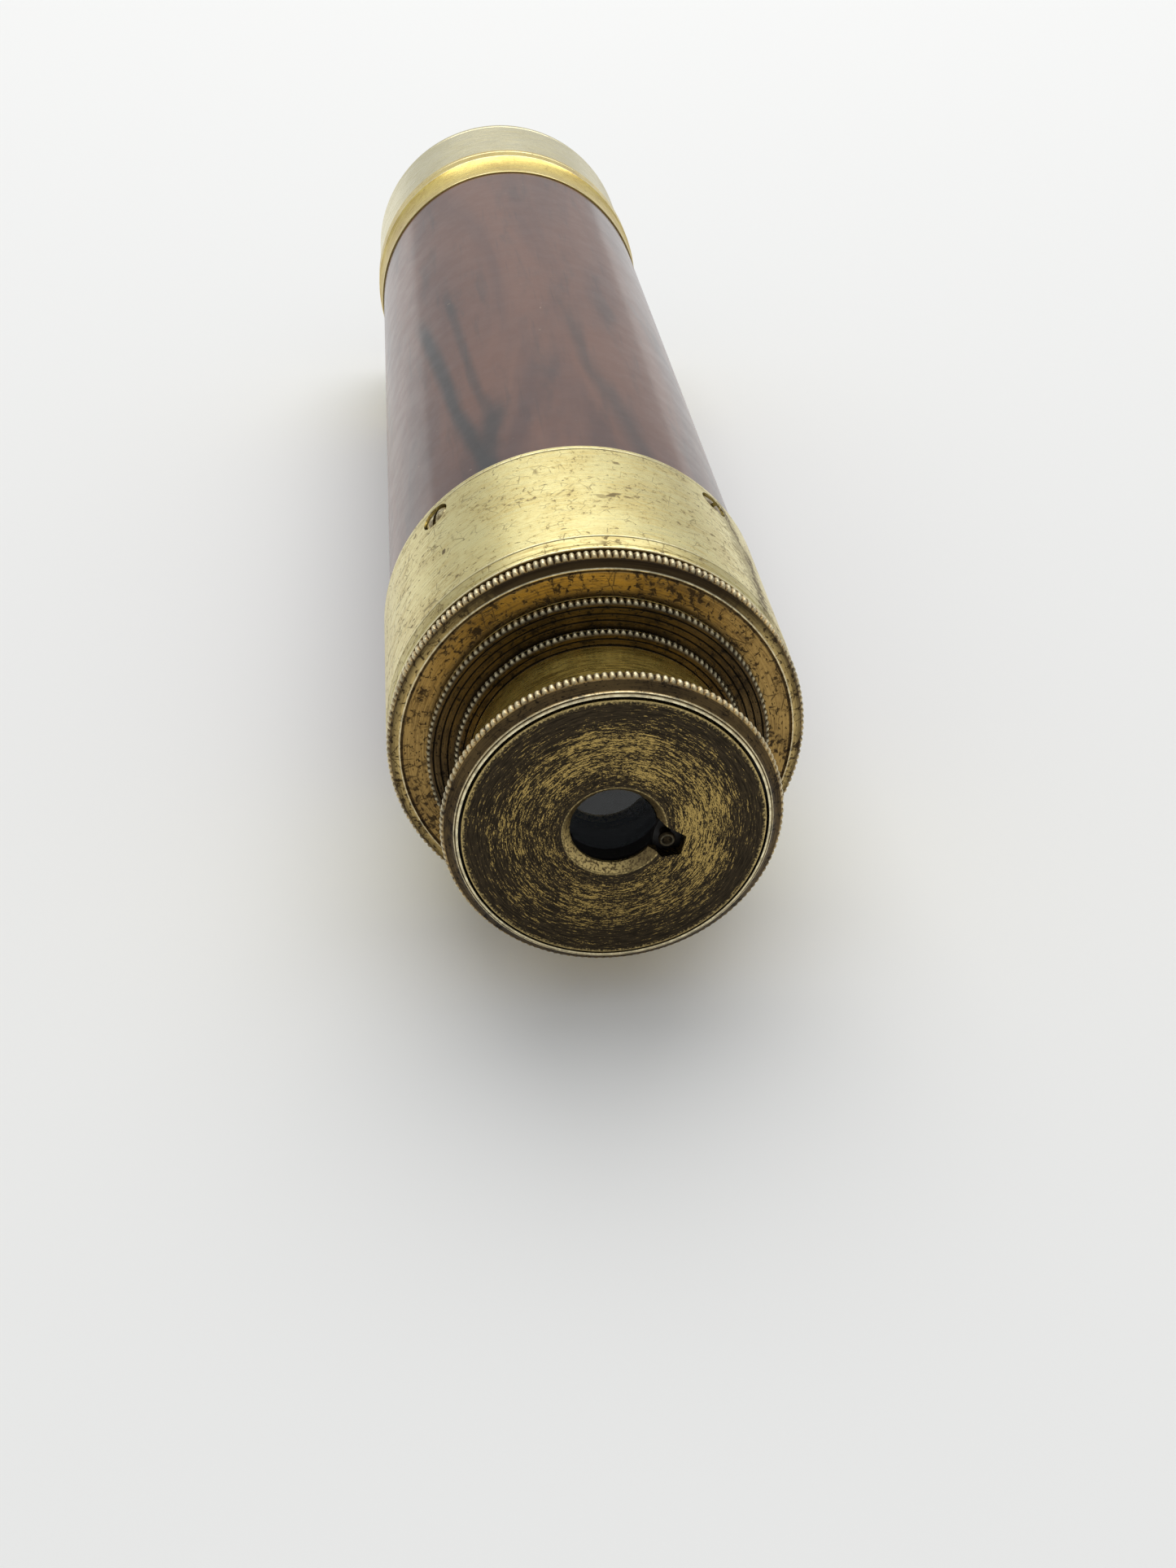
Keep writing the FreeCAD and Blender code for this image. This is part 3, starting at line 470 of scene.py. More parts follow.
def platePatina(name, tone):
    # a dark disc worn back to gold in thin strokes round the eyehole
    material, tree, shader, place = startMaterial(name)
    parts = latheParts(tree, place)
    _, radius, east, north = parts
    longStrokes = noise(tree, latheVector(tree, parts, 9, 6400), 1.0, 3, 0.64, 0.4)
    shortStrokes = noise(tree, latheVector(tree, parts, 36, 9000), 1.0, 3, 0.68, 0.6)
    rings = noise(tree, latheVector(tree, parts, 1.6, 1500), 1.0, 4, 0.7)
    clouds = noise(tree, place, 210.0, 4, 0.6)
    specks = noise(tree, place, 3900.0, 3, 0.6)
    inner = ramp(tree, radius, (tone["brushedFrom"] - 0.9) * mm, (tone["brushedFrom"] + 1.2) * mm)
    outer = ramp(tree, radius, (tone["brushedTo"] - 4.2) * mm, tone["brushedTo"] * mm, 1.0, 0.0)
    # the wear is strongest on the upper right, as a thumb rubs it
    side = ramp(tree, plus(tree, times(tree, east, 0.62), times(tree, north, 0.30)), -0.8, 0.6, 0.58, 1.0)
    brightening = times(tree, times(tree, inner, outer), side)
    level = plus(tree, times(tree, longStrokes, 0.5), times(tree, shortStrokes, 0.5))
    level = plus(tree, level, times(tree, brightening, tone["thumbWear"]))
    level = plus(tree, level, times(tree, minus(tree, rings, 0.5), 0.22))
    level = plus(tree, level, times(tree, minus(tree, clouds, 0.5), 0.16))
    flecks = ramp(tree, level, tone["fleckFrom"], tone["fleckTo"], 0.0, 0.95)
    base = blendColour(tree, ramp(tree, longStrokes, 0.35, 0.65), tone["patina"], tone["patinaPale"])
    colour = blendColour(tree, flecks, base, tone["gold"])
    wearAndHighlight = painted(tree, "wearAndHighlight")
    ragged = plus(tree, radius, times(tree, minus(tree, specks, 0.5), 0.0013))
    rim = ramp(tree, ragged, tone["rimFrom"] * mm, tone["rimTo"] * mm, 0.0, 0.85)
    edge = times(tree, wearAndHighlight, ramp(tree, specks, 0.35, 0.6, 0.75, 0.2))
    rim = larger(tree, rim, edge)
    colour = blendColour(tree, times(tree, rim, 0.85), colour, tone["bright"])
    # the countersink's wall: bare and dark, rubbed gold on the lower left
    wall = ramp(tree, radius, (tone["countersink"] - 0.10) * mm, (tone["countersink"] - 0.04) * mm, 1.0, 0.0)
    low = ramp(tree, plus(tree, times(tree, east, -0.55), times(tree, north, -0.6)), 0.1, 0.75)
    rubbed = times(tree, ramp(tree, specks, 0.36, 0.58), plus(tree, 0.18, times(tree, low, 0.7)))
    wallColour = blendColour(tree, rubbed, tone["bare"], tone["bright"])
    colour = blendColour(tree, wall, colour, wallColour)
    plug(tree, colour, shader.inputs["Base Color"])
    shader.inputs["Metallic"].default_value = 1.0
    bright = larger(tree, flecks, rim)
    plug(tree, ramp(tree, bright, 0.0, 1.0, 0.46, 0.32), shader.inputs["Roughness"])
    addBump(tree, shader, plus(tree, longStrokes, times(tree, shortStrokes, 0.6)), tone["relief"])
    return material


woodTone = {
    "light": (0.150, 0.056, 0.028, 1),
    "middle": (0.076, 0.026, 0.016, 1),
    "dark": (0.010, 0.007, 0.006, 1),
    "dust": (0.42, 0.30, 0.22, 1),
    "coat": 0.62,
    "coatRoughness": 0.12,
    "gloss": 0.2,
    "streaks": [
        {"angle": -34.0, "station": 62.0, "lean": -0.34, "wander": 0.22, "halfWidth": 4.6, "softness": 0.1,
         "strength": 0.92, "span": (38.0, 92.0), "fade": 14.0},
        {"angle": -25.5, "station": 48.0, "lean": 0.5, "wander": 0.2, "halfWidth": 7.0, "softness": 0.1,
         "strength": 0.8, "span": (38.0, 54.0), "fade": 7.0},
        {"angle": -28.5, "station": 78.0, "lean": -0.25, "wander": 0.25, "halfWidth": 3.2, "softness": 0.1,
         "strength": 0.6, "span": (62.0, 96.0), "fade": 12.0},
        {"angle": 17.0, "station": 66.0, "lean": -0.25, "wander": 0.5, "halfWidth": 6.5, "softness": 0.0,
         "strength": 0.55, "span": (42.0, 78.0), "fade": 14.0},
    ],
}


def woodFinish(name, tone):
    # hardwood with its figure along the barrel, under an old polish
    material, tree, shader, place = startMaterial(name)
    parts = latheParts(tree, place)
    stretch = addNode(tree, "ShaderNodeMapping")
    stretch.inputs["Scale"].default_value = (1, 0.16, 1)
    tree.links.new(place, stretch.inputs["Vector"])
    grain = stretch.outputs["Vector"]
    broad = noise(tree, grain, 70.0, 4, 0.55, 0.9)
    veins = noise(tree, grain, 300.0, 4, 0.6, 0.35)
    fine = addNode(tree, "ShaderNodeMapping")
    fine.inputs["Scale"].default_value = (1, 0.05, 1)
    tree.links.new(place, fine.inputs["Vector"])
    pores = noise(tree, fine.outputs["Vector"], 1300.0, 2, 0.6)
    colour = blendColour(tree, ramp(tree, broad, 0.34, 0.64), tone["middle"], tone["light"])
    colour = blendColour(tree, ramp(tree, veins, 0.50, 0.72, 0.0, 0.4), colour, tone["dark"])
    for sizes in tone["streaks"]:
        colour = blendColour(tree, streak(tree, parts, broad, sizes), colour, tone["dark"])
    colour = blendColour(tree, ramp(tree, pores, 0.60, 0.74, 0.0, 0.25), colour, tone["dark"])
    dust = ramp(tree, noise(tree, place, 900.0, 2, 0.5), 0.76, 0.80, 0.0, 0.5)
    colour = blendColour(tree, dust, colour, tone["dust"])
    plug(tree, colour, shader.inputs["Base Color"])
    smear = noise(tree, place, 260.0, 4, 0.6)
    plug(tree, ramp(tree, smear, 0.3, 0.7, 0.36, 0.46), shader.inputs["Roughness"])
    shader.inputs["Specular IOR Level"].default_value = tone["gloss"]
    shader.inputs["Coat Weight"].default_value = tone["coat"]
    shader.inputs["Coat Roughness"].default_value = tone["coatRoughness"]
    scratches = hairlines(tree, place, 240.0, 0.02)
    addBump(tree, shader, times(tree, scratches, -1.0), 0.00001, 0.4)
    return material


def glassFinish(name, tint):
    # glass of the given tint, with a faint bloom and a few specks of dust
    material, tree, shader, place = startMaterial(name)
    dust = noise(tree, place, 1400.0, 2, 0.5)
    speck = ramp(tree, dust, 0.79, 0.83)
    plug(tree, ramp(tree, speck, 0.0, 1.0, 0.02, 0.35), shader.inputs["Roughness"])
    plug(tree, blendColour(tree, speck, tint, (0.35, 0.34, 0.32, 1)), shader.inputs["Base Color"])
    shader.inputs["Transmission Weight"].default_value = 1.0
    shader.inputs["IOR"].default_value = 1.52
    return material


lacquerTone = {"black": (0.012, 0.011, 0.010, 1), "thin": (0.08, 0.06, 0.03, 1)}
screwTone = {"dark": (0.22, 0.16, 0.07, 1), "rubbed": (0.84, 0.72, 0.38, 1)}


def blackFinish(name, tone):
    # matt black lacquer with a little brass showing through where it is thin
    material, tree, shader, place = startMaterial(name)
    thin = noise(tree, place, 500.0, 4, 0.6)
    colour = blendColour(tree, ramp(tree, thin, 0.66, 0.76, 0.0, 0.5), tone["black"], tone["thin"])
    plug(tree, colour, shader.inputs["Base Color"])
    shader.inputs["Metallic"].default_value = 0.2
    plug(tree, ramp(tree, thin, 0.3, 0.7, 0.62, 0.46), shader.inputs["Roughness"])
    addBump(tree, shader, thin, 0.00001)
    return material


def steelFinish(name, tone):
    # dark screws, rubbed bright on their high spots
    material, tree, shader, place = startMaterial(name)
    rub = noise(tree, place, 1600.0, 4, 0.65)
    wearAndHighlight = painted(tree, "wearAndHighlight")
    share = larger(tree, ramp(tree, rub, 0.45, 0.65, 0.0, 0.8), wearAndHighlight)
    plug(tree, blendColour(tree, share, tone["dark"], tone["rubbed"]), shader.inputs["Base Color"])
    shader.inputs["Metallic"].default_value = 1.0
    plug(tree, ramp(tree, rub, 0.3, 0.7, 0.38, 0.26), shader.inputs["Roughness"])
    addBump(tree, shader, rub, 0.000015)
    return material


finishes = {
    "collar": brassFinish("paleBrass", paleBrass),
    "cell": brassFinish("cellBrass", cellBrass),
    "gold": brassFinish("goldBrass", goldBrass),
    "bronze": brassFinish("bronzedBrass", bronzedBrass),
    "cone": brassFinish("shadedBrass", shadedBrass),
    "brown": brassFinish("brownedBrass", browned),
    "stud": brassFinish("blackenedStud", blackened),
    "tube": brassFinish("tubeBrass", tubeBrass),
    "plate": platePatina("platePatina", plateFinish),
    "wood": woodFinish("polishedWood", woodTone),
    "glass": glassFinish("lensGlass", (0.93, 0.96, 0.95, 1)),
    # painted shade: the eye lens is tinted grey to darken the view into the tube
    "shadeTintedGlass": glassFinish("eyeLensGlass", (0.30, 0.32, 0.34, 1)),
    "black": blackFinish("blackLacquer", lacquerTone),
    "steel": steelFinish("screwMetal", screwTone),
}
print("finishes made:", len(finishes))


# turning
sharpAngle = math.radians(33)
mergeDistance = 1e-7
wearFade = 0.09 * mm      # how far a bright edge reaches


def lathePlace(point):
    # station and radius of a point, in mm
    return (point.y - eyeFace) / mm, math.hypot(point.x, point.z - axisHeight) / mm


def finishPiece(name, shape, finish, body, nodes, zones=()):
    # zones are further finishes, each with the stations and radii between which it holds
    for count, (_, stations, radii) in enumerate(zones):
        for face in shape.faces:
            station, radius = lathePlace(face.calc_center_median())
            if stations[0] < station < stations[1] and radii[0] < radius < radii[1]:
                face.material_index = count + 1
    mesh = bpy.data.meshes.new(name)
    shape.to_mesh(mesh)
    shape.free()
    mesh.shade_smooth()
    mesh.set_sharp_from_angle(angle=sharpAngle)
    piece = bpy.data.objects.new(name, mesh)
    scene.collection.objects.link(piece)
    for key in (finish, *(zone[0] for zone in zones)):
        mesh.materials.append(finishes[key])
    weighted = piece.modifiers.new("flatFaces", "WEIGHTED_NORMAL")
    weighted.keep_sharp = True
    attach(piece, body)
    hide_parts(*nodes)
    return piece


def joinLine(shape, line):
    for first, second in zip(line, line[1:]):
        shape.edges.new((first, second))


def spinRound(shape, steps, centre=(0, 0, axisHeight), axis=(0, 1, 0)):
    # one full turn, closed at its seam and its poles, with its faces outward
    bmesh.ops.spin(shape, geom=shape.verts[:] + shape.edges[:], cent=centre, axis=axis,
                   angle=2 * math.pi, steps=steps, use_merge=True, use_duplicate=False)
    bmesh.ops.remove_doubles(shape, verts=shape.verts[:], dist=mergeDistance)
    bmesh.ops.recalc_face_normals(shape, faces=shape.faces[:])


def turnShape(outline, steps):
    # a closed outline of (station, radius, softness) in mm, softened at its corners and spun round the axis
    shape = bmesh.new()
    wearAndHighlight = shape.verts.layers.float.new("wearAndHighlight")
    shape.verts.layers.float.new("grimeAndShade")
    corners = []
    for station, radius, _ in outline:
        corners.append(shape.verts.new((radius * mm, eyeFace + station * mm, axisHeight)))
    face = shape.faces.new(corners)
    face.normal_update()
    # a softened outer corner is worn bright, and the brightness stays close to it
    for loop, point in zip(face.loops, outline):
        loop.vert[wearAndHighlight] = 1.0 if point[2] and loop.is_convex else 0.0
    for amount in sorted({point[2] for point in outline if point[2]}):
        group = [corner for corner, point in zip(corners, outline) if point[2] == amount]
        bmesh.ops.bevel(shape, geom=group, offset=amount * mm, offset_type="OFFSET", segments=3, profile=0.5,
                        affect="VERTICES", clamp_overlap=True, material=-1)
    bmesh.ops.delete(shape, geom=shape.faces[:], context="FACES_ONLY")
    for corner in [vert for vert in shape.verts if vert[wearAndHighlight] > 0]:
        for edge in list(corner.link_edges):
            if edge.calc_length() > 2.5 * wearFade:
                bmesh.utils.edge_split(edge, corner, wearFade / edge.calc_length())[1][wearAndHighlight] = 0.0
    spinRound(shape, steps)
    return shape


def paintGrimeAndShade(shape, amount, stations, radii):
    # darkens a turned piece between two stations and two radii, with grime and painted shade
    wearAndHighlight = shape.verts.layers.float["wearAndHighlight"]
    grimeAndShade = shape.verts.layers.float["grimeAndShade"]
    for vert in shape.verts:
        station, radius = lathePlace(vert.co)
        if stations[0] <= station <= stations[1] and radii[0] <= radius <= radii[1]:
            vert[grimeAndShade] = amount
            vert[wearAndHighlight] = 0.0


def knurl(shape, teeth, stations, root, tip, cut):
    # rounded teeth cut across a rim between two stations; cut is the share of the rim's height above its root
    wearAndHighlight = shape.verts.layers.float["wearAndHighlight"]
    grimeAndShade = shape.verts.layers.float["grimeAndShade"]
    for vert in shape.verts:
        station, radius = lathePlace(vert.co)
        across, height = vert.co.x, vert.co.z - axisHeight
        if not stations[0] <= station <= stations[1] or radius <= root:
            continue
        angle = math.atan2(height, across)
        valley = 1 - abs(math.sin(angle * teeth / 2)) ** 0.7
        proud = (radius - root) / (tip - root)
        lower = (root + (radius - root) * (1 - cut * valley)) / radius
        vert.co.x = across * lower
        vert.co.z = axisHeight + height * lower
        # tooth tips are brightened: wear and a painted highlight
        vert[wearAndHighlight] = proud * max(0.0, 1 - 2.2 * valley)
        # tooth valleys are darkened: grime and painted shade
        vert[grimeAndShade] = proud * valley ** 1.5


lensRings = 14


def faceDrop(curve, radius):
    # how far a lens face falls away from its middle at a radius
    return curve - math.sqrt(curve ** 2 - radius ** 2) if curve else 0


def lens(name, node, curves, steps, body, finish):
    # a lens between the stations of its node; a curve is the radius of a face in mm, or 0 for a flat one
    front, back, rim = reach(node)
    shape = bmesh.new()
    shape.verts.layers.float.new("wearAndHighlight")
    shape.verts.layers.float.new("grimeAndShade")
    chain = []
    for count in range(lensRings + 1):
        radius = rim * count / lensRings
        chain.append((front + faceDrop(curves[0], radius), radius))
    for count in range(lensRings, -1, -1):
        radius = rim * count / lensRings
        chain.append((back - faceDrop(curves[1], radius), radius))
    line = [shape.verts.new((radius * mm, eyeFace + station * mm, axisHeight)) for station, radius in chain]
    joinLine(shape, line)
    spinRound(shape, steps)
    finishPiece(name, shape, finish, body, [node])


def cutWith(piece, cutter):
    # subtracts one closed mesh from another for good
    tool = bpy.data.objects.new("cutter", bpy.data.meshes.new("cutter"))
    cutter.to_mesh(tool.data)
    cutter.free()
    scene.collection.objects.link(tool)
    step = piece.modifiers.new("cut", "BOOLEAN")
    step.operation = "DIFFERENCE"
    step.solver = "EXACT"
    step.object = tool
    piece.modifiers.move(len(piece.modifiers) - 1, 0)
    weighted = [modifier for modifier in piece.modifiers if modifier.type == "WEIGHTED_NORMAL"]
    for modifier in weighted:
        modifier.show_viewport = False
    bpy.context.view_layer.update()
    result = bpy.data.meshes.new_from_object(piece.evaluated_get(bpy.context.evaluated_depsgraph_get()))
    for modifier in weighted:
        modifier.show_viewport = True
    piece.modifiers.remove(step)
    old = piece.data
    piece.data = result
    bpy.data.meshes.remove(old)
    result.name = piece.name
    mesh = bmesh.new()
    mesh.from_mesh(result)
    bmesh.ops.remove_doubles(mesh, verts=mesh.verts[:], dist=2 * mergeDistance)
    mesh.to_mesh(result)
    mesh.free()
    result.set_sharp_from_angle(angle=sharpAngle)
    bpy.data.objects.remove(tool)


def dishRows(first, last, bulge, count):
    # points on a shallow curve between two profile points; a positive bulge goes towards the axis
    rows = []
    for step in range(1, count):
        share = step / count
        sag = bulge * math.sin(math.pi * share)
        station = first[0] + (last[0] - first[0]) * share
        rows.append((station, first[1] + (last[1] - first[1]) * share - sag, 0))
    return rows


# wooden barrel
barrelSizes = {"wall": 2.5, "rebate": 0.4, "steps": 256}
collarFront, collarBack, collarRim = reach("eye_end_collar")
flangeFront, flangeBack, flangeRim = reach("objective_flange")


def makeBarrel(sizes):
    front, back, rim = reach("wood_barrel")
    bore = rim - sizes["wall"]
    under = rim - sizes["rebate"]
    outline = [
        (front, bore, 0), (back, bore, 0), (back, under, 0), (flangeFront + 0.15, under, 0),
        (flangeFront - 0.02, rim, 0), (flangeFront - 8, rim, 0), (collarBack + 8, rim, 0),
        (collarBack + 0.02, rim, 0), (collarBack - 0.15, under, 0), (front, under, 0),
    ]
    finishPiece("barrelWood", turnShape(outline, sizes["steps"]), "wood", "barrel", ["wood_barrel"])


makeBarrel(barrelSizes)
print("wooden barrel made")

# collar at the eye end, its guide ring and its screws
collarSizes = {
    "bore": 17.8,
    "inside": 19.95,
    "frontWall": 2.2,
    "bevelLength": 1.95,
    "lineFromRear": 0.85,
    "lineDepth": 0.2,
    "screwHole": 1.74,
    "screwFromRear": 2.8,
    "drillDepth": 8,
    "drillCentre": 21,
    "steps": 512,
}
guideSizes = {
    "bore": 16.7,
    "bush": 17.75,
    "faceEdge": 19.72,
    "beadRoot": 20.58,
    "teeth": 188,
    "cut": 0.92,
    "rim": 1.72,
}
screwSizes = {
    "head": 1.5,
    "dome": 0.3,
    "depth": 0.9,
    "shank": 0.75,
    "length": 2.4,
    "sunk": 0.30,
    "slotWidth": 0.46,
    "slotDepth": 0.6,
    "steps": 64,
    "twists": (62, 118, 20, 75),     # degrees, where each slot was left pointing
}
screwStation = collarBack - collarSizes["screwFromRear"]


def screwLine(count):
    # from the axis out towards one of the four screws
    angle = math.radians(45 + 90 * count)
    return Matrix.Translation((0, eyeFace + screwStation * mm, axisHeight)) @ Matrix.Rotation(angle, 4, "Y")


def headPlace(count, sizes):
    # where one screw's head sits, turned as its slot was left
    rise = Matrix.Translation((0, 0, (collarRim - sizes["sunk"]) * mm))
    return screwLine(count) @ rise @ Matrix.Rotation(math.radians(sizes["twists"][count]), 4, "Z")


def makeCollar(sizes):
    front, back, rim = collarFront, collarBack, collarRim
    shoulder = front + sizes["frontWall"]
    line = back - sizes["lineFromRear"]
    bevel = front + sizes["bevelLength"]
    outline = [
        (front, sizes["bore"], 0), (shoulder, sizes["bore"], 0), (shoulder, sizes["inside"], 0),
        (back, sizes["inside"], 0), (back, rim, 0.14),
        (line + 0.18, rim, 0.03), (line + 0.11, rim - sizes["lineDepth"], 0),
        (line - 0.11, rim - sizes["lineDepth"], 0), (line - 0.18, rim, 0), (line - 0.4, rim, 0),
        (back - 5.2, rim, 0), (shoulder + 4, rim, 0), (bevel + 0.4, rim, 0),
        (bevel + 0.12, rim, 0.03), (bevel + 0.04, rim - 0.1, 0), (bevel - 0.06, rim - 0.1, 0),
        (bevel - 0.12, rim - 0.04, 0),
        (front + 0.62, rim - 0.16, 0.03), (front + 0.55, rim - 0.22, 0), (front + 0.45, rim - 0.22, 0),
        (front + 0.38, rim - 0.17, 0.03), (front, rim - 0.26, 0.07), (front, rim - 0.5, 0),
    ]
    shape = turnShape(outline, sizes["steps"])
    # the front bevel, the grooves and the face under the guide ring are darkened: grime and painted shade
    paintGrimeAndShade(shape, 0.28, (front + 0.1, bevel - 0.1), (rim - 0.3, rim + 0.1))
    paintGrimeAndShade(shape, 0.97, (line - 0.12, line + 0.12), (rim - 0.3, rim - 0.05))
    paintGrimeAndShade(shape, 0.85, (bevel - 0.08, bevel + 0.06), (rim - 0.3, rim - 0.05))
    paintGrimeAndShade(shape, 0.97, (front - 0.1, front + 0.01), (0, rim - 0.4))
    piece = finishPiece("collarSleeve", shape, "collar", "barrel", ["eye_end_collar"])
    holes = bmesh.new()
    for count in range(4):
        drill = screwLine(count) @ Matrix.Translation((0, 0, sizes["drillCentre"] * mm))
        bmesh.ops.create_cone(holes, cap_ends=True, segments=64, radius1=sizes["screwHole"] * mm,
                              radius2=sizes["screwHole"] * mm, depth=sizes["drillDepth"] * mm, matrix=drill)
    cutWith(piece, holes)


def makeGuideRing(sizes):
    front, back, rim = reach("barrel_guide_ring")
    rimEnd = front + sizes["rim"]
    root = sizes["beadRoot"]
    edge = sizes["faceEdge"]
    outline = [
        (front, sizes["bore"], 0.1), (back, sizes["bore"], 0), (back, sizes["bush"], 0),
        (rimEnd, sizes["bush"], 0),
        (rimEnd, root - 0.12, 0), (rimEnd - 0.04, root, 0), (rimEnd - 0.10, root + 0.18, 0),
        (rimEnd - 0.26, rim - 0.06, 0), (rimEnd - 0.44, rim, 0), (rimEnd - 0.90, rim, 0),
        (rimEnd - 1.08, rim - 0.06, 0), (rimEnd - 1.24, root + 0.18, 0), (rimEnd - 1.30, root, 0),
        (front + 0.30, root - 0.04, 0), (front + 0.12, edge + 0.10, 0), (front, edge, 0.03),
        (front, edge - 0.10, 0),
        (front + 0.10, edge - 0.18, 0), (front + 0.10, edge - 0.30, 0), (front + 0.02, edge - 0.40, 0),
        (front + 0.02, sizes["bush"], 0),
    ]
    shape = turnShape(outline, sizes["teeth"] * 6)
    # a groove on the face and the cone's foot are darkened: grime and painted shade
    paintGrimeAndShade(shape, 0.85, (front + 0.08, front + 0.13), (edge - 0.32, edge - 0.16))
    paintGrimeAndShade(shape, 0.8, (front + 0.26, front + 0.45), (root - 0.1, root + 0.02))
    knurl(shape, sizes["teeth"], (rimEnd - 1.30, rimEnd - 0.03), root, rim, sizes["cut"])
    zones = [("cone", (front + 0.03, rimEnd - 1.31), (edge + 0.04, root))]
    finishPiece("guideRing", shape, "bronze", "barrel", ["barrel_guide_ring"], zones)


def makeScrews(sizes):
    screws = bmesh.new()
    screws.verts.layers.float.new("wearAndHighlight")
    profile = [(0, sizes["dome"]), (0.6, sizes["dome"] * 0.86), (1.1, sizes["dome"] * 0.5), (1.38, 0.07),
               (sizes["head"], -0.06), (sizes["head"], -0.3), (sizes["shank"], -sizes["depth"]),
               (sizes["shank"], -sizes["length"]), (0, -sizes["length"])]
    for count in range(len(sizes["twists"])):
        single = bmesh.new()
        line = [single.verts.new((across * mm, 0, height * mm)) for across, height in profile]
        joinLine(single, line)
        spinRound(single, sizes["steps"], (0, 0, 0), (0, 0, 1))
        bmesh.ops.transform(single, matrix=headPlace(count, sizes), verts=single.verts[:])
        held = bpy.data.meshes.new("screw")
        single.to_mesh(held)
        single.free()
        screws.from_mesh(held)
        bpy.data.meshes.remove(held)
    piece = finishPiece("collarScrews", screws, "steel", "barrel", ["collar_screws"])
    slots = bmesh.new()
    for count in range(len(sizes["twists"])):
        rise = Matrix.Translation((0, 0, (0.5 + sizes["dome"] - sizes["slotDepth"]) * mm))
        stretch = Matrix.Diagonal((4 * mm, sizes["slotWidth"] * mm, 1.0 * mm, 1))
        bmesh.ops.create_cube(slots, size=1, matrix=headPlace(count, sizes) @ rise @ stretch)
    cutWith(piece, slots)


makeCollar(collarSizes)
makeGuideRing(guideSizes)
makeScrews(screwSizes)
print("collar, guide ring and screws made")

# objective end
objectiveSizes = {
    "lap": 6.35,
    "inside": 19.95,
    "thread": 18.75,
    "cellBore": 19.3,
    "cellThread": 18.7,
    "cellThreadBore": 17.45,
    "seat": 17.6,
    "seatFrom": 2.3,
    "seatTo": 3.8,
    "threadLength": 2.6,
    "steps": 320,
}


def makeObjectiveEnd(sizes):
    front, back, rim = flangeFront, flangeBack, flangeRim
    lap = front + sizes["lap"]
    coveStart = (front + 0.9, rim - 0.62)
    coveEnd = (front + 7.4, rim - 0.10)
    outline = [
        (front, sizes["inside"], 0), (lap, sizes["inside"], 0), (lap, sizes["thread"], 0),
        (back, sizes["thread"], 0), (back, rim, 0.12), (back - 0.9, rim, 0.05),
        (back - 1.05, rim - 0.14, 0), (back - 1.2, rim, 0.05), (coveEnd[0], rim, 0.08),
        *dishRows(coveEnd, coveStart, 0.2, 9), (*coveStart, 0),
        (front + 0.75, rim - 0.46, 0.05), (front + 0.12, rim - 0.48, 0.05), (front, rim - 0.6, 0),
    ]
    shape = turnShape(outline, sizes["steps"])
    # the groove and the front face are darkened: grime and painted shade
    paintGrimeAndShade(shape, 0.85, (back - 1.1, back - 1.0), (rim - 0.2, rim - 0.05))
    paintGrimeAndShade(shape, 0.7, (front - 0.1, front + 0.1), (0, rim))
    finishPiece("objectiveFlange", shape, "gold", "barrel", ["objective_flange"])

    front, back, rim = reach("objective_cell")
    shoulder = front + sizes["threadLength"]
    bore = sizes["cellThreadBore"]
    outline = [
        (front, bore, 0), (shoulder + sizes["seatFrom"], bore, 0),
        (shoulder + sizes["seatFrom"], sizes["seat"], 0),
        (shoulder + sizes["seatTo"], sizes["seat"], 0), (shoulder + sizes["seatTo"], sizes["cellBore"], 0),
        (back, sizes["cellBore"], 0.25), (back, rim, 0.22),
        (back - 1.1, rim, 0.04), (back - 1.22, rim - 0.1, 0), (back - 1.34, rim, 0.04),
        (shoulder + 0.5, rim, 0), (shoulder, rim, 0.1), (shoulder, sizes["cellThread"], 0),
        (front, sizes["cellThread"], 0),
    ]
    shape = turnShape(outline, sizes["steps"])
    # the mouth's edge and the shoulder are darkened: grime and painted shade
    paintGrimeAndShade(shape, 0.8, (back - 0.2, back + 0.1), (rim - 0.5, rim + 0.1))
    paintGrimeAndShade(shape, 0.9, (shoulder - 0.1, shoulder + 0.08), (sizes["cellThread"] - 0.1, rim + 0.1))
    zones = [("black", (front, back - 0.4), (0, sizes["cellBore"] + 0.1))]
    finishPiece("objectiveCell", shape, "cell", "barrel", ["objective_cell"], zones)
    front, back, rim = reach("objective_retainer")
    outline = [(front, sizes["seat"], 0), (back, sizes["seat"], 0.15), (back, rim, 0.1), (front, rim, 0)]
    ring = turnShape(outline, sizes["steps"])
    finishPiece("lensRetainer", ring, "gold", "barrel", ["objective_retainer"])
    lens("crownLens", "crown_lens", (100.0, 130.0), 192, "barrel", "glass")


makeObjectiveEnd(objectiveSizes)
print("objective end made")

# draws 1 and 2, with knurled flanges
drawSizes = {
    "draw_1": {"bore": 14.0, "bush": 15.95, "rim": 0.95, "shoulder": 1.3, "toothHeight": 0.36,
               "teeth": 154, "grooves": (0.27, 0.96, 1.66)},
    "draw_2": {"bore": 11.3, "bush": 13.25, "rim": 0.85, "shoulder": 0.9, "toothHeight": 0.34,
               "teeth": 135, "grooves": (0.4, 1.05, 1.7)},
}
tubeSizes = {"wall": 0.6, "plain": 3, "steps": 256}
drawCut = 0.94


def makeTube(name, node, body, sizes):
    front, back, rim = reach(node)
    bore = rim - sizes["wall"]
    outline = [(front, bore, 0), (back, bore, 0.1), (back, rim, 0.1), (back - sizes["plain"], rim, 0),
               (front + sizes["plain"], rim, 0), (front, rim, 0)]
    finishPiece(name, turnShape(outline, sizes["steps"]), "tube", body, [node])


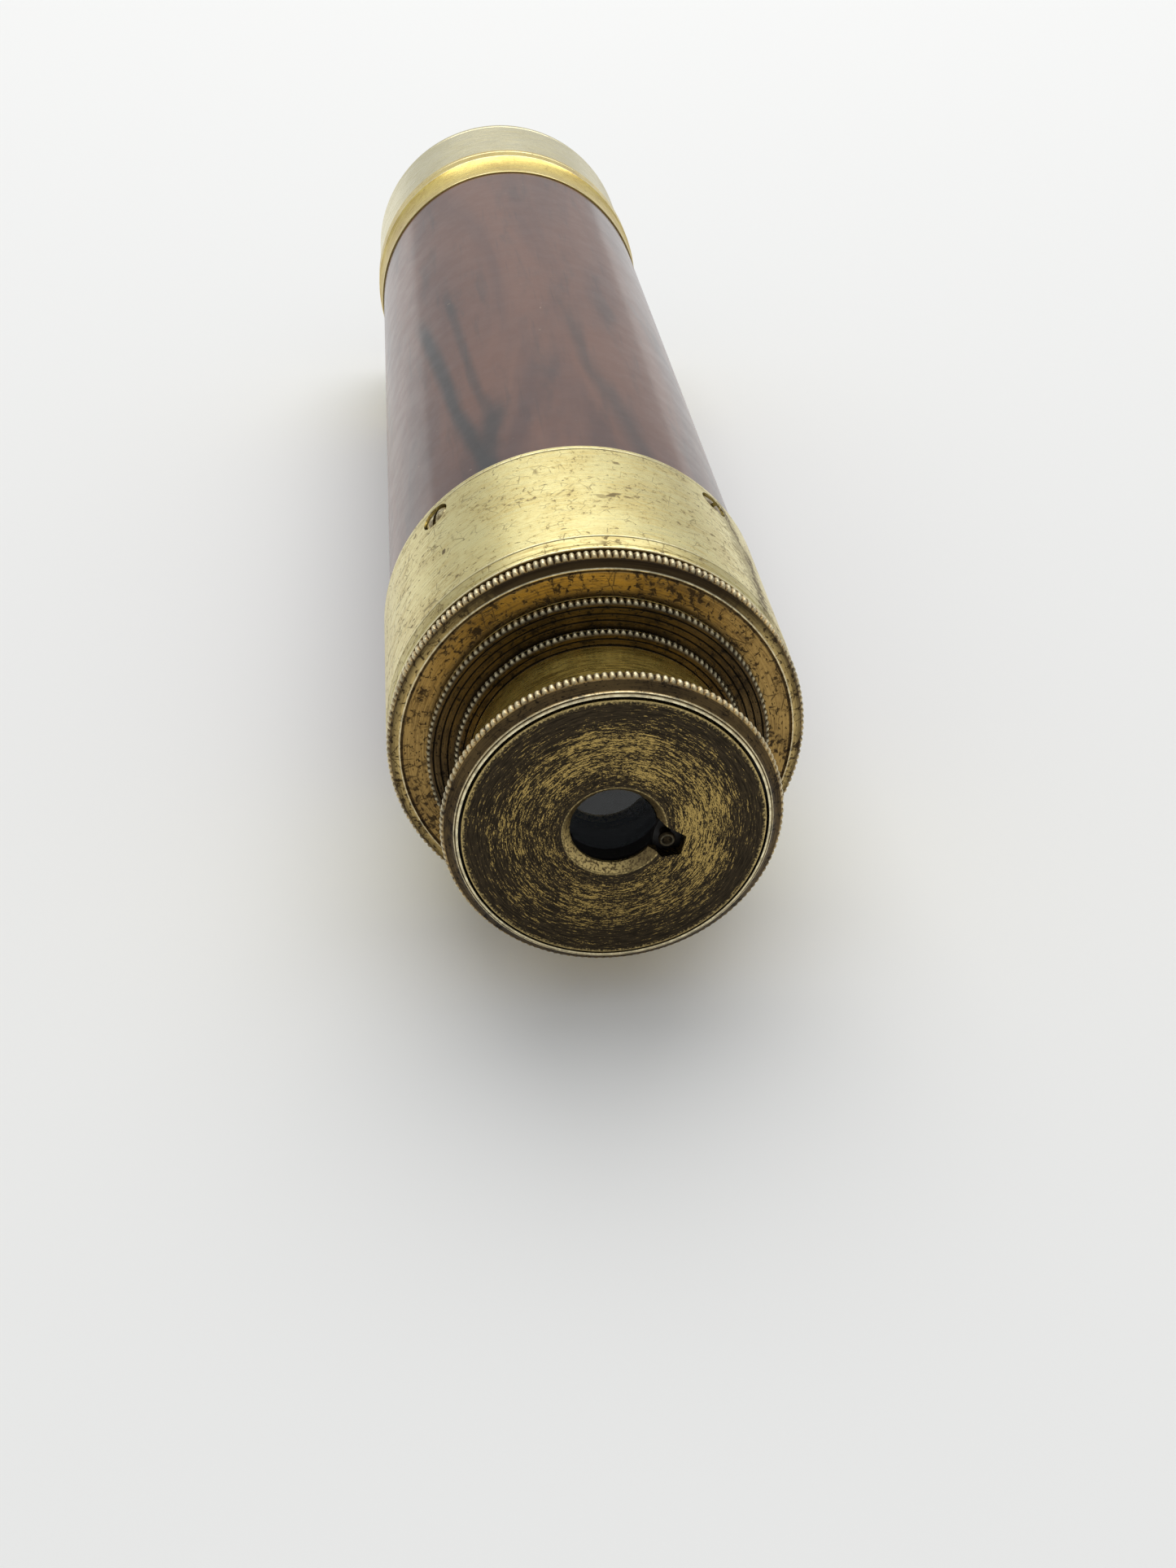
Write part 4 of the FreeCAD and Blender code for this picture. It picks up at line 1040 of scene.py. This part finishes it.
def makeDraw(body, sizes):
    front, back, rim = reach(body + "_flange")
    rimEnd = front + sizes["rim"]
    shoulder = front + sizes["shoulder"]
    root = rim - sizes["toothHeight"]
    face = root - 0.05
    outline = [
        (front, sizes["bore"], 0.06), (back, sizes["bore"], 0), (back, sizes["bush"], 0),
        (shoulder, sizes["bush"], 0), (shoulder, root - 0.1, 0), (rimEnd, root - 0.1, 0),
        (rimEnd - 0.04, root, 0), (rimEnd - 0.14, rim - 0.07, 0),
        (rimEnd - 0.28, rim, 0), (front + 0.34, rim, 0), (front + 0.18, rim - 0.08, 0),
        (front + 0.06, root, 0), (front, face, 0),
    ]
    for drop in sizes["grooves"]:
        outline += [(front, face - drop + 0.09, 0), (front + 0.09, face - drop + 0.03, 0),
                    (front + 0.09, face - drop - 0.03, 0), (front, face - drop - 0.09, 0)]
    shape = turnShape(outline, sizes["teeth"] * 6)
    # the bottoms of the face's grooves are darkened: grime and painted shade
    paintGrimeAndShade(shape, 0.95, (front + 0.07, front + 0.1), (sizes["bore"], face))
    knurl(shape, sizes["teeth"], (front + 0.05, rimEnd - 0.03), root, rim, drawCut)
    finishPiece("drawFlange" + body[-1], shape, "brown", body, [body + "_flange"])
    makeTube("drawTube" + body[-1], body + "_tube", body, tubeSizes)


for body, sizes in drawSizes.items():
    makeDraw(body, sizes)
makeTube("drawTube3", "draw_3_tube", "draw_3", tubeSizes)
print("draws made")

# eye cup and eye plate
cupSizes = {
    "seat": 14.5,
    "recess": 13.4,
    "plate": 1.2,
    "floor": 2.5,
    "web": 1.5,
    "aperture": 4.8,
    "cavity": 10.6,
    "socket": 11.25,
    "socketFrom": 6.2,
    "neck": 13.0,
    "neckFrom": 7.0,
    "beadRoot": 15.86,
    "beadFrom": 1.12,
    "beadTo": 2.16,
    "teeth": 145,
    "cut": 0.85,
    "rimEdge": 14.98,
}


def makeCup(sizes):
    front, back, rim = reach("eye_cup")
    root = sizes["beadRoot"]
    first, last = sizes["beadFrom"], sizes["beadTo"]
    outer = (first - 0.10, root - 0.02)
    lip = (front + 0.34, sizes["rimEdge"] + 0.04)
    neckStart = (last + 0.12, root - 0.06)
    neckEnd = (sizes["neckFrom"], sizes["neck"])
    outline = [
        (front, sizes["seat"] + 0.06, 0.03), (sizes["plate"], sizes["seat"], 0),
        (sizes["plate"], sizes["recess"], 0),
        (sizes["floor"], sizes["recess"], 0), (sizes["floor"], sizes["aperture"], 0),
        (sizes["floor"] + sizes["web"], sizes["aperture"], 0),
        (sizes["floor"] + sizes["web"], sizes["cavity"], 0),
        (sizes["socketFrom"], sizes["cavity"], 0), (sizes["socketFrom"], sizes["socket"], 0),
        (back, sizes["socket"], 0), (back, sizes["neck"], 0.15), (back - 2.2, sizes["neck"], 0),
        (*neckEnd, 0),
        *dishRows(neckEnd, neckStart, 0.52, 9), (*neckStart, 0), (last, root, 0),
        (last - 0.07, root + 0.16, 0), (last - 0.20, rim - 0.05, 0), (last - 0.36, rim, 0),
        (first + 0.36, rim, 0),
        (first + 0.18, rim - 0.06, 0), (first + 0.06, root + 0.14, 0), (first, root, 0), (*outer, 0),
        *dishRows(outer, lip, 0.13, 6), (*lip, 0), (front + 0.14, sizes["rimEdge"] - 0.02, 0.03),
        (front + 0.19, sizes["rimEdge"] - 0.13, 0), (front, sizes["rimEdge"] - 0.24, 0.02),
    ]
    shape = turnShape(outline, sizes["teeth"] * 6)
    # the groove at the rim is darkened: grime and painted shade
    paintGrimeAndShade(shape, 0.9, (front + 0.16, front + 0.22), (sizes["rimEdge"] - 0.16, sizes["rimEdge"] - 0.1))
    knurl(shape, sizes["teeth"], (first, last), root, rim, sizes["cut"])
    zones = [
        ("brown", (front + 0.3, first), (sizes["rimEdge"] + 0.05, root)),
        ("black", (front + 0.3, back - 0.1), (0, sizes["seat"] + 0.05)),
        ("gold", (last + 0.13, back + 0.1), (sizes["neck"] - 0.7, root)),
    ]
    finishPiece("eyeCup", shape, "bronze", "draw_3", ["eye_cup"], zones)


plateSizes = {
    "hole": 4.15,
    "countersink": 4.9,
    "countersinkDepth": 0.9,
    "gap": 0.1,
    "softness": 0.08,
    "steps": 256,
    # the filed notch, right and up from the axis in mm, a little out of square and uneven
    "notch": [(3.3, 1.27), (4.69, 0.38), (5.35, -0.10), (5.9, -0.40), (6.5, -0.80), (6.74, -1.05),
              (6.62, -1.45), (6.56, -1.95), (6.38, -2.45), (6.32, -2.92), (6.12, -3.07), (5.5, -3.04),
              (4.9, -3.16), (4.45, -3.2), (4.28, -2.98), (4.0, -2.62), (3.45, -2.54), (2.5, -2.3)],
}


def makePlate(sizes):
    front, back, rim = reach("eye_plate")
    rim -= sizes["gap"]
    sink = sizes["countersink"]
    outline = [
        (front, sink, 0.05), (front + 0.12, sink - 0.14, 0), (sizes["countersinkDepth"], sizes["hole"], 0),
        (back, sizes["hole"], 0), (back, rim, 0), (front, rim, sizes["softness"]),
        (front, rim - 2.5, 0), (front, sink + 2, 0),
    ]
    shape = turnShape(outline, sizes["steps"])
    piece = finishPiece("eyePlate", shape, "plate", "draw_3", ["eye_plate"])
    cutter = bmesh.new()
    points = []
    for across, height in sizes["notch"]:
        points.append(cutter.verts.new((across * mm, eyeFace - 1 * mm, axisHeight + height * mm)))
    base = cutter.faces.new(points)
    pushed = bmesh.ops.extrude_face_region(cutter, geom=[base])
    moved = [part for part in pushed["geom"] if isinstance(part, bmesh.types.BMVert)]
    bmesh.ops.translate(cutter, vec=(0, 4 * mm, 0), verts=moved)
    bmesh.ops.recalc_face_normals(cutter, faces=cutter.faces[:])
    cutWith(piece, cutter)


studSizes = {
    "stem": 0.55,
    "head": 0.8,
    "headLength": 0.45,
    "cup": 0.52,
    "cupDepth": 0.3,
    "wearAndHighlight": 0.12,
    "steps": 48,
}


def makeStud(sizes):
    # the shutter's pin: a small cupped head, spun about its own centre
    low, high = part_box("shutter_stud")
    centre = (low + high) / 2
    front, back = 0.0, (high.y - low.y) / mm
    head, cup, depth = sizes["head"], sizes["cup"], sizes["cupDepth"]
    chain = [(depth, 0), (depth, 0.2), (depth - 0.06, 0.34), (depth - 0.16, cup - 0.06), (front, cup),
             (front + 0.05, head - 0.1), (front + 0.18, head), (sizes["headLength"], head),
             (sizes["headLength"] + 0.08, sizes["stem"]), (back, sizes["stem"]), (back, 0)]
    shape = bmesh.new()
    wearAndHighlight = shape.verts.layers.float.new("wearAndHighlight")
    shape.verts.layers.float.new("grimeAndShade")
    line = []
    for station, radius in chain:
        corner = shape.verts.new((centre.x + radius * mm, low.y + station * mm, centre.z))
        corner[wearAndHighlight] = sizes["wearAndHighlight"] if station == front else 0.0
        line.append(corner)
    joinLine(shape, line)
    spinRound(shape, sizes["steps"], (centre.x, 0, centre.z))
    finishPiece("shutterStud", shape, "stud", "shutter", ["shutter_stud"])


makeCup(cupSizes)
makePlate(plateSizes)
makeStud(studSizes)
# the eye lens is tinted grey as painted shade
lens("eyeLens", "eye_lens", (0, 14.0), 128, "draw_3", "shadeTintedGlass")
print("eye end made")

# parts kept from the CAD model take their finish here
keptFinishes = {
    "draw_1_stop_ring": "tube",
    "draw_2_stop_ring": "tube",
    "draw_3_stop_ring": "tube",
    "shutter_blade": "black",
    "shutter_pivot_screw": "steel",
    "eyepiece_cell": "black",
    "eye_lens_ring": "black",
    "field_stop": "black",
    "field_lens": "glass",
    "field_lens_ring": "black",
    "erector_cell": "black",
    "rear_erector_ring": "black",
    "rear_erector_lens": "glass",
    "erector_stop": "black",
    "front_erector_lens": "glass",
    "front_erector_ring": "black",
    "flint_lens": "glass",
}
for name, finish in keptFinishes.items():
    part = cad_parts[name]
    part.data.materials.clear()
    part.data.materials.append(finishes[finish])
print("kept parts finished:", len(keptFinishes))

bpy.context.view_layer.update()
